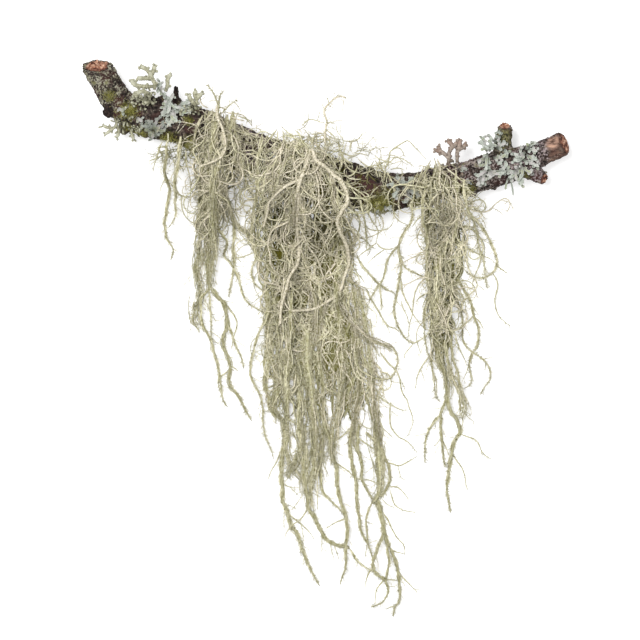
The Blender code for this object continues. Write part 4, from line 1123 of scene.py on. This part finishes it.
def fill(beard, chance, layer):
    """The crowded strands of the dense parts: layer 0 is deep, 1 lies over it, 2 in front. The
    deeper layers get more painted shade.
    """
    for (left, right), (*_, arch, bottom, counts, dark, pieces) in zip(EDGES, MASSES):
        for _ in range(counts[layer]):
            across = chance.uniform(0.02, 0.98) if layer else chance.uniform(0.12, 0.88)
            top = left[0, 1] + across * (right[0, 1] - left[0, 1])
            top -= arch * math.sin(math.pi * across)
            level = chance.uniform(0, 1) ** (1.1, 1.0, 1.4)[layer]
            start = top + (bottom - top) * 0.85 * level
            length = chance.uniform(50, 120)
            length = min(length, bottom - 60 * chance.uniform(0, 1) ** 2 - start)
            if length < SHORTEST:
                continue
            fan = max(0.0, 1 - 4 * level)
            low_x, high_x = edge(left, start), edge(right, start)
            aside = (across - 0.5) * (high_x - low_x) * (1 - 0.3 * fan)
            spot = ((low_x + high_x) / 2 + aside, start)
            heading = math.pi / 2 + chance.normal(0, 0.22) - (across - 0.5) * 1.5 * fan
            piece = pieces[min(int(across * len(pieces)), len(pieces) - 1)]
            # A strand gets less painted shade low down and near the edges of a dense part
            low = np.clip((start - top) / (bottom - top), 0, 1)
            inner = np.clip(min(across, 1 - across) / 0.2, 0.35, 1)
            if layer == 0:
                route = ramble(chance, spot, heading, length, 0.12, 0.05, (left, right))
                beard.strand(piece, clear_of_gaps(route), chance.uniform(1.1, 1.7), 0.6, 0,
                             (dark * chance.uniform(0.75, 1.0) - 0.38 * low**2) * inner, 0, 5.0)
            elif layer == 1:
                beard.tree(piece, spot, heading, length, chance.uniform(0.55, 0.8),
                           chance.uniform(0, 0.5),
                           (chance.uniform(0.45, 0.9) - 0.35 * low) * inner, 14, 0.2,
                           (left, right), wild=0.10)
            else:
                beard.tree(piece, spot, heading, length, chance.uniform(0.55, 1.0),
                           chance.uniform(0.1, 0.95), chance.uniform(0, 0.12), 6 + 4 * low, 0.4,
                           (left, right), wild=0.14 - 0.04 * low, pull=0.06 + 0.03 * low,
                           reach=(6, 20))


def tangle(beard, chance):
    """Short arcs that cross each other on the twig and in the crowns."""
    for piece, x, y, half_width, half_height, count, pale in TANGLES:
        for _ in range(count):
            spot = spot_in(chance, x, y, half_width, half_height)
            on_bark = (beard.canopy.ground[cells(np.array([spot, spot + (0, 8)]))] > 0).all()
            inside = crowded(spot[0] - 9, spot[1]) and crowded(spot[0] + 9, spot[1])
            deep = (on_bark or inside) and chance.uniform() < 0.5
            heading = chance.uniform(-0.4, math.pi + 0.4)
            length = chance.uniform(12, 36) * (0.6 if deep or not pale else 1)
            if deep:
                heading = chance.uniform(0.5, math.pi - 0.5)
            # Deep arcs get more painted shade through their depth
            depth = chance.uniform(0, 0.2) + (0.6 if deep else 0 if pale else 0.33)
            beard.tree(piece, spot, heading, length, chance.uniform(0.5, 0.92),
                       pale * chance.uniform(0.5, 1.4), depth, 7, 0.25,
                       pull=0.06, wild=0.13, reach=(4, 11))


def traced(text):
    """Width, paleness or "stem", and the rows of each strand in a text."""
    strands = [strand.split(maxsplit=2) for strand in text.split(";")]
    return [(float(width), pale, parse(route)) for width, pale, route in strands]


def grow_beards(bed):
    chance = np.random.default_rng(SEED)
    canopy = Canopy(bed.height)
    beard = Beard(canopy, chance)
    strands = {piece: traced(text) for piece, text in BEARDS.items()}
    fill(beard, chance, 0)
    fill(beard, chance, 1)
    tangle(beard, chance)
    for piece, rows in strands.items():
        rows = [(width, float(pale), points) for width, pale, points in rows if pale != "stem"]
        starts = np.array([points[0] for _, _, points in rows])
        for width, pale, points in rows:
            route = curve(points, STRAND_STEP)
            if width >= LOCK_FROM:
                free = np.hypot(*(starts - route[-1]).T).min() > JOIN
                laid = beard.lock(piece, route, width * LOCK_SPREAD, pale, free)
                beard.branches(piece, laid, 17, (7, 20), 0.42, pale, 0.1, 0.7, 0.8)
            else:
                laid = beard.strand(piece, route, width / 2 + 0.12, 0.25, pale, 0.2, 1.0,
                                    wanted=canopy.perch(piece, route))
                beard.branches(piece, laid, 26, (3, 9), 0.34, pale, 0, 0.3, 0.85)
    fill(beard, chance, 2)
    for piece, rows in strands.items():
        for width, pale, points in rows:
            if pale == "stem":
                route = curve(points, STRAND_STEP)
                laid = beard.strand(piece, route, width * 0.50, width * 0.32, 0.85, 0.12, 0.8,
                                    1.4, wanted=canopy.perch(piece, route))
                beard.branches(piece, laid, 7, (5, 26), 0.55, 0.7, 0.0, 0.6)
                beard.branches(piece, laid, 4, (1.5, 4), 0.5, 0.8, 0.0, 0.0)
    surface = beard_material()
    for piece in BEARDS:
        made = put(piece, beard.mesh(piece), surface)
        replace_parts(made, piece)


# Leafy and tube lichens, and moss


def rounded(route, width, blunt=0.82):
    """Half widths along a lobe that widens and ends round."""
    share = np.linspace(0, 1, len(route))
    end = np.clip((share - blunt) / (1 - blunt), 0, 0.995)
    return width / 2 * PX * (0.62 + 0.38 * share) * np.sqrt(1 - end**2)


def lobe(skein, bed, route, width, chance, rise, shade):
    """One flat lobe: a thin ribbon with a scalloped rim that curls up."""
    route = even(route, 0.9)
    count, sides = len(route), len(LOBE_SECTION)
    half = rounded(route, width)
    half *= 1 + 0.16 * np.sin(np.arange(count) * chance.uniform(1.1, 1.7) + chance.uniform(0, 6))
    share = np.linspace(0, 1, count)
    height = bed.lay(route, np.full(count, LOBE_LIFT), 0.5)
    height = height + rise * MM * share + chance.normal(0, 0.06) * MM
    path = placed(route, height)
    _, side, up = frames(np.gradient(path, axis=0))
    points = (path[:, None] + side[:, None] * LOBE_SECTION[None, :, :1] * half[:, None, None]
              + up[:, None] * LOBE_SECTION[None, :, 1:2] * LOBE_DEPTH)
    rim = np.tile(LOBE_SECTION[:, 2], (count, 1))
    rim = np.maximum(rim, np.clip((share[:, None] - 0.75) * 3, 0, 0.8))
    # Painted shade: darker toward the lobe's base, where it lies under the others, and never less
    # than the share given for the lichen
    cover = np.tile((0.85 - 1.6 * share)[:, None], (1, sides)).clip(shade, 1)
    spokes = np.arange(sides)[None, :]
    skein.add(points.reshape(-1, 3), [ring_faces(count - 1, sides), spokes[:, ::-1],
                                      spokes + (count - 1) * sides], cover.ravel(), rim.ravel())


def spread(route, chance, spacing, reach, angles):
    """Short side routes along a route, to either side in turn."""
    run = lengths(route)
    made = []
    side = 1
    for mark in np.arange(spacing * 0.6, run[-1], spacing):
        here, beyond = sampled(route, run, (mark, mark + 1))
        ahead = beyond - here
        if not np.any(ahead):
            ahead = route[-1] - route[-2]
        turn = side * math.radians(chance.uniform(*angles))
        heading = math.atan2(ahead[1], ahead[0]) + turn
        length = chance.uniform(*reach)
        bend = chance.uniform(-0.4, 0.4)
        middle = here + toward(heading, 0.5 * length)
        end = middle + toward(heading + bend, 0.5 * length)
        made.append(curve([here, middle, end], ARM_STEP))
        side = -side
    return made


def grow_leaves(bed):
    chance = np.random.default_rng(SEED + 1)
    surface = leaf_material()
    for name, (width, shade, arms) in LEAVES.items():
        skein = Skein()
        bed.carry(None if name == "leaf_flakes" else name)
        for text in arms.split(";"):
            arm = curve(parse(text.replace("thin", "")), ARM_STEP)
            if "thin" in text:
                lobe(skein, bed, arm, width * 0.6, chance, 0.5, 0.2)
                continue
            for short in spread(arm, chance, 2.5, (2.8, 5.4), (30, 80)):
                lobe(skein, bed, short, width * chance.uniform(0.7, 1.05), chance,
                     chance.uniform(0.2, 1.5), shade)
            lobe(skein, bed, arm, width * chance.uniform(0.8, 1.0), chance,
                 chance.uniform(0.5, 1.3), shade)
        made = put(name, skein.mesh(name, ("cover", "rim")), surface)
        if name != "leaf_flakes":
            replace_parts(made, name)


def grow_tubes(bed):
    chance = np.random.default_rng(SEED + 2)
    surfaces = {
        "tube_lichen": tube_material("tube_lichen", (0.17, 0.165, 0.105), (0.44, 0.43, 0.31),
                                     (0.54, 0.54, 0.43)),
        "brown_tube_lichen": tube_material("brown_tube_lichen", (0.12, 0.09, 0.075),
                                           (0.40, 0.34, 0.285), (0.27, 0.18, 0.14)),
    }
    for name, (width, arms) in TUBES.items():
        skein = Skein()
        bed.carry(name)
        routes = []
        for text in arms.split(";"):
            arm = curve(parse(text), ARM_STEP)
            routes.append((arm, width, 0.4, 0.0))
            routes += [(short, width * 0.62, 0.6, 0.1)
                       for short in spread(arm, chance, 8.0, (3.5, 5.5), (35, 65))]
            routes += [(short, width * 0.66, 0.6, 0.0)
                       for short in spread(arm[-4:], chance, 1.1, (2.6, 4.0), (30, 55))[:2]]
        for piece, *oval, count in KNOBS:
            for _ in range(count if piece == name else 0):
                spot = spot_in(chance, *oval)
                way = chance.uniform(0, math.tau)
                reach = toward(way, chance.uniform(2.2, 4.5))
                routes.append((curve([spot, spot + reach * 0.5, spot + reach], ARM_STEP),
                               width * chance.uniform(0.4, 0.65), 1.2, chance.uniform(-0.1, 0.7)))
        for route, size, rise, dark in routes:
            route = even(route, ARM_STEP)
            share = np.linspace(0, 1, len(route))
            radius = rounded(route, size * 0.9, 0.78)
            radius *= 1 + 0.10 * np.sin(np.arange(len(route)) * 1.9 + chance.uniform(0, 6))
            height = bed.lay(route, radius, 0.4) + chance.uniform(0, rise) * MM * share
            ends = np.clip((share - 0.6) * 2, 0, 0.8)
            # Painted shade: darker toward an arm's base, and over some knobs all along
            cover = np.clip(dark + 0.5 - 1.4 * share, max(dark, 0), 1)
            skein.tube(placed(route, height), radius, 8, cover, ends)
        slot = "brown_tube_lichen" if name == "tube_lichen_brown" else "tube_lichen"
        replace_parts(put(name, skein.mesh(name), surfaces[slot]), name)


def grow_moss(line):
    """Short pointed blades that stand on the bark."""
    chance = np.random.default_rng(SEED + 3)
    skein = Skein()
    for x, y, reach, count, long in MOSS:
        spots = np.column_stack([chance.normal(x, reach * 0.5, count),
                                 chance.normal(y, reach * 0.42, count)])
        away = np.hypot(*(spots[:, None] - line[None, :, :2]).transpose(2, 0, 1))
        rows = line[away.argmin(axis=1)]
        on_bark = away.min(axis=1) * PX < rows[:, 2] * 1.02
        spots, rows = spots[on_bark], rows[on_bark]
        radius, blades = rows[:, 2], len(rows)
        foot = placed(rows, rows[:, 3])
        off = (placed(spots, rows[:, 3]) - foot)[:, :2]
        distance = np.minimum(np.hypot(*off.T), radius * 0.98)
        off *= (distance / (np.hypot(*off.T) + 1e-12))[:, None]
        rise = np.sqrt(radius**2 - distance**2)
        outward = np.column_stack([off, rise]) / radius[:, None]
        roots = foot + outward * (radius[:, None] - 0.1 * MM)
        heading = unit(outward + chance.normal(0, 0.55, outward.shape))
        size = chance.uniform(0.5, 1.15, blades) * long * MM
        thick = chance.uniform(0.07, 0.13, blades) * MM
        skein.hairs(roots, heading, size, thick, np.zeros(blades), np.zeros(blades))
    put("moss", skein.mesh("moss"), moss_material())


# Twig


def swell(centre, outward):
    """The bark's slow swelling, as in the CAD part."""
    wave = noise.noise(Vector(centre) * BARK_GRAIN + outward * 1.3)
    return 1.0 + BARK_RELIEF * max(-1.0, min(1.0, 2.0 * wave))


def add_limb(shape, centres, radii, sides=40):
    """A closed round limb through the centres."""
    rings = []
    for i, centre in enumerate(centres):
        ahead = (centres[min(i + 1, len(centres) - 1)] - centres[max(i - 1, 0)]).normalized()
        side = ahead.cross(Vector((0, 0, 1))).normalized()
        up = side.cross(ahead)
        ring = []
        for k in range(sides):
            turn = math.tau * k / sides
            outward = side * math.cos(turn) + up * math.sin(turn)
            ring.append(shape.verts.new(centre + outward * radii[i] * swell(centre, outward)))
        rings.append(ring)
    for ring, following in zip(rings, rings[1:]):
        for k in range(sides):
            after = (k + 1) % sides
            shape.faces.new((ring[k], ring[after], following[after], following[k]))
    shape.faces.new(rings[0])
    shape.faces.new(list(reversed(rings[-1])))


def limb_ends(line):
    """The open ends: name, centre, the way the limb runs, the way the end faces, radius and
    how torn it is."""
    rows = [point(x, y, height) for x, y, _, height in line]
    ends = [("broken_end", point(*BROKEN_END, line[0][3]), rows[0] - rows[2],
             (-0.05, 0.85, 0.52), line[0][2], 1.0),
            ("cut_end", rows[-1], rows[-1] - rows[-3], (0.86, 0.36, 0.34), line[-1][2], 0.3)]
    for name, facing, (start, end, _, radius, rise) in zip(
            ("upper_stub_end", "lower_stub_end"), ((0.05, 0.90, 0.45), (0.78, -0.35, 0.45)),
            STUBS):
        height = nearest_row(line, start)[3]
        low, high = point(*start, height), point(*end, height + rise)
        ends.append((name, high, high - low, facing, radius * PX, 0.6))
    return [(name, centre, way.normalized(), Vector(facing).normalized(), radius, tear)
            for name, centre, way, facing, radius, tear in ends]


def cut(shape, centre, facing, near):
    """Cuts a limb's end along a plane and closes it."""
    geometry = [*near, *{side for vert in near for side in vert.link_edges},
                *{face for vert in near for face in vert.link_faces}]
    made = bmesh.ops.bisect_plane(shape, geom=geometry, plane_co=centre, plane_no=facing,
                                  clear_outer=True)
    rim = [item for item in made["geom_cut"] if isinstance(item, bmesh.types.BMEdge)]
    bmesh.ops.holes_fill(shape, edges=rim, sides=0)


def build_twig(line):
    shape = bmesh.new()
    ends = limb_ends(line)
    rows = [point(x, y, height) for x, y, _, height in line]
    centres = [rows[0] + ends[0][2] * 4.5 * MM, *rows, rows[-1] + ends[1][2] * 2.5 * MM]
    add_limb(shape, centres, [line[0][2], *line[:, 2], line[-1][2]])
    for _, centre, _, facing, *_ in ends[:2]:
        cut(shape, centre, facing, shape.verts[:])
    for (start, _, start_radius, end_radius, _), (_, centre, way, facing, *_) in zip(
            STUBS, ends[2:]):
        low = point(*start, nearest_row(line, start)[3])
        before = set(shape.verts)
        add_limb(shape,
                 [low.lerp(centre, t) for t in (0, 0.3, 0.6, 0.85)] + [centre + way * 2.2 * MM],
                 [(start_radius + (end_radius - start_radius) * t) * PX
                  for t in (0, 0.35, 0.6, 0.8, 1)])
        cut(shape, centre, facing, [vert for vert in shape.verts if vert not in before])
    for spot, radius, rise in BUDS + KNOTS:
        made = bmesh.ops.create_icosphere(shape, subdivisions=3, radius=radius * PX)
        bmesh.ops.translate(shape, verts=made["verts"],
                            vec=point(*spot, nearest_row(line, spot)[3] + rise))
    bmesh.ops.recalc_face_normals(shape, faces=shape.faces)
    rough = bpy.data.meshes.new("rough")
    shape.to_mesh(rough)
    shape.free()
    holder = bpy.data.objects.new("rough", rough)
    bpy.context.scene.collection.objects.link(holder)
    remesh = holder.modifiers.new("voxels", "REMESH")
    remesh.mode = "VOXEL"
    remesh.voxel_size = VOXEL
    smooth = holder.modifiers.new("smooth", "SMOOTH")
    smooth.factor = 0.5
    smooth.iterations = 2
    mesh = bpy.data.meshes.new_from_object(
        holder.evaluated_get(bpy.context.evaluated_depsgraph_get()))
    bpy.data.objects.remove(holder)
    roughen(mesh)
    mesh.name = "twig"
    mesh.shade_smooth()
    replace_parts(put("twig", mesh, bark_material()), "twig")


def roughen(mesh):
    """Bark relief, the share of pale crust, and where the bark is missing."""
    count = len(mesh.vertices)
    points, normals = np.zeros(count * 3), np.zeros(count * 3)
    mesh.vertices.foreach_get("co", points)
    mesh.vertex_normals.foreach_get("vector", normals)
    points, normals = points.reshape(-1, 3), normals.reshape(-1, 3)
    px = points[:, 0] / PX + ORIGIN_PX[0]
    py = ORIGIN_PX[1] - points[:, 1] / PX
    x, y, sine, cosine = BARE_WOOD
    along = cosine * (px - x) - sine * (py - y)
    over = sine * (px - x) + cosine * (py - y)
    bare = 0.25 * np.clip((px - 546) / 4, 0, 1)
    bare += 0.75 * np.clip(1.5 - (along / 8) ** 2 - (over / 5.5) ** 2, 0, 1)
    where, crust, lilac = np.array(CRUST, float).T
    bud, mossy = np.zeros(count), np.zeros(count)
    for (x, y), radius, _ in BUDS:
        bud = np.maximum(bud, np.clip((1.35 - np.hypot(px - x, py - y) / radius) * 4, 0, 1))
    for x, y, reach, *_ in [*MOSS, STUB_TINT]:
        mossy = np.maximum(mossy, 1.3 - 1.1 * np.hypot(px - x, py - y) / reach)
    lift = np.zeros(count)
    for i, place in enumerate(map(Vector, points)):
        lumps = noise.noise(place * 800)
        cracks = 1 - abs(noise.noise(Vector((place.x * 900, place.y * 1900, place.z * 1900))))
        grit = noise.noise(place * 2100)
        lift[i] = 0.42 * lumps - 0.42 * max(0.0, cracks - 0.84) / 0.16 + 0.34 * grit
    lift *= 1 - 0.6 * bare
    moved = points + normals * (lift * MM)[:, None]
    moved[:, 2] = np.maximum(moved[:, 2], 0)
    mesh.vertices.foreach_set("co", moved.ravel())
    set_values(mesh, "bare", bare)
    set_values(mesh, "crust", np.interp(px, where, crust))
    set_values(mesh, "lilac", np.interp(px, where, lilac))
    set_values(mesh, "bud", bud)
    set_values(mesh, "mossy", mossy.clip(0, 0.85))
    mesh.update()


def build_ends(line, rings=14, sides=44):
    """Bare wood on the open ends: torn fibres where it broke, nearly flat where it was cut."""
    surface = wood_material()
    for name, centre, way, facing, radius, tear in limb_ends(line):
        side = facing.cross(way).normalized()
        up = facing.cross(side).normalized() / max(0.4, facing.dot(way))
        points = [centre + facing * 0.3 * MM]
        rim = [0.0]
        for i in range(1, rings + 1):
            share = i / rings
            for k in range(sides):
                turn = math.tau * k / sides
                spot = side * math.cos(turn) + up * math.sin(turn)
                inset = (0.88 - 0.14 * tear + 0.12 * noise.noise(spot * 2.2 + centre * 90)
                         + 0.16 * tear * noise.noise(spot * 6.0 + centre * 50))
                place = centre + spot * radius * share * inset
                splinter = abs(noise.noise(place * 1100)) * 1.8 + 0.7 * noise.noise(place * 3600)
                height = tear * (0.1 + splinter) * 1.0 * MM * (1 - share**5)
                points.append(place + facing * (height + 0.28 * MM * (1 - share**8)))
                rim.append(max(0.0, (share - 0.74) / 0.26))
        back = len(points)
        points.append(centre - facing * 0.9 * MM)
        rim.append(1.0)
        last = back - sides
        faces = [(0, 1 + k, 1 + (k + 1) % sides) for k in range(sides)]
        faces += (np.roll(ring_faces(rings - 1, sides)[:, ::-1], 1, axis=1) + 1).tolist()
        faces += [(last + (k + 1) % sides, last + k, back) for k in range(sides)]
        mesh = bpy.data.meshes.new(name)
        mesh.from_pydata([tuple(place) for place in points], [], faces)
        set_values(mesh, "rim", rim)
        mesh.shade_smooth()
        put(name, mesh, surface)


# Floor, light and camera


def set_stage():
    bpy.ops.mesh.primitive_plane_add(size=6, location=(0, 0, -0.0002))
    floor = bpy.context.object
    floor.name = "floor"
    floor.data.materials.append(floor_material())
    world = bpy.data.worlds.new("studio")
    bpy.context.scene.world = world
    world.use_nodes = True
    background = world.node_tree.nodes["Background"]
    background.inputs["Color"].default_value = (1, 1, 1, 1)
    background.inputs["Strength"].default_value = 0.50
    for name, place, size, power in (("key", (-0.45, 0.35, 1.5), 0.7, 26.0),
                                     ("fill", (0.8, -0.4, 1.2), 1.0, 5.0)):
        lamp = bpy.data.lights.new(name, "AREA")
        lamp.shape = "DISK"
        lamp.size = size
        lamp.energy = power
        made = bpy.data.objects.new(name, lamp)
        made.location = place
        made.rotation_euler = (-Vector(place)).to_track_quat("-Z", "Y").to_euler()
        bpy.context.scene.collection.objects.link(made)


def set_camera():
    data = bpy.data.cameras.new("camera")
    data.sensor_width = SENSOR
    data.lens = SENSOR * (CAMERA_HEIGHT - FOCUS_LEVEL) / (VIEW * PX)
    data.clip_start = 0.01
    data.clip_end = 20
    camera = bpy.data.objects.new("camera", data)
    camera.location = (*at(VIEW / 2, VIEW / 2), CAMERA_HEIGHT)
    bpy.context.scene.collection.objects.link(camera)
    bpy.context.scene.camera = camera
    bpy.context.scene.view_settings.view_transform = "Standard"


def main():
    set_camera()
    set_stage()
    line = twig_rows(2.5)
    bed = Bed(line)
    build_twig(line)
    build_ends(line)
    grow_leaves(bed)
    grow_tubes(bed)
    grow_moss(line)
    grow_beards(bed)


main()
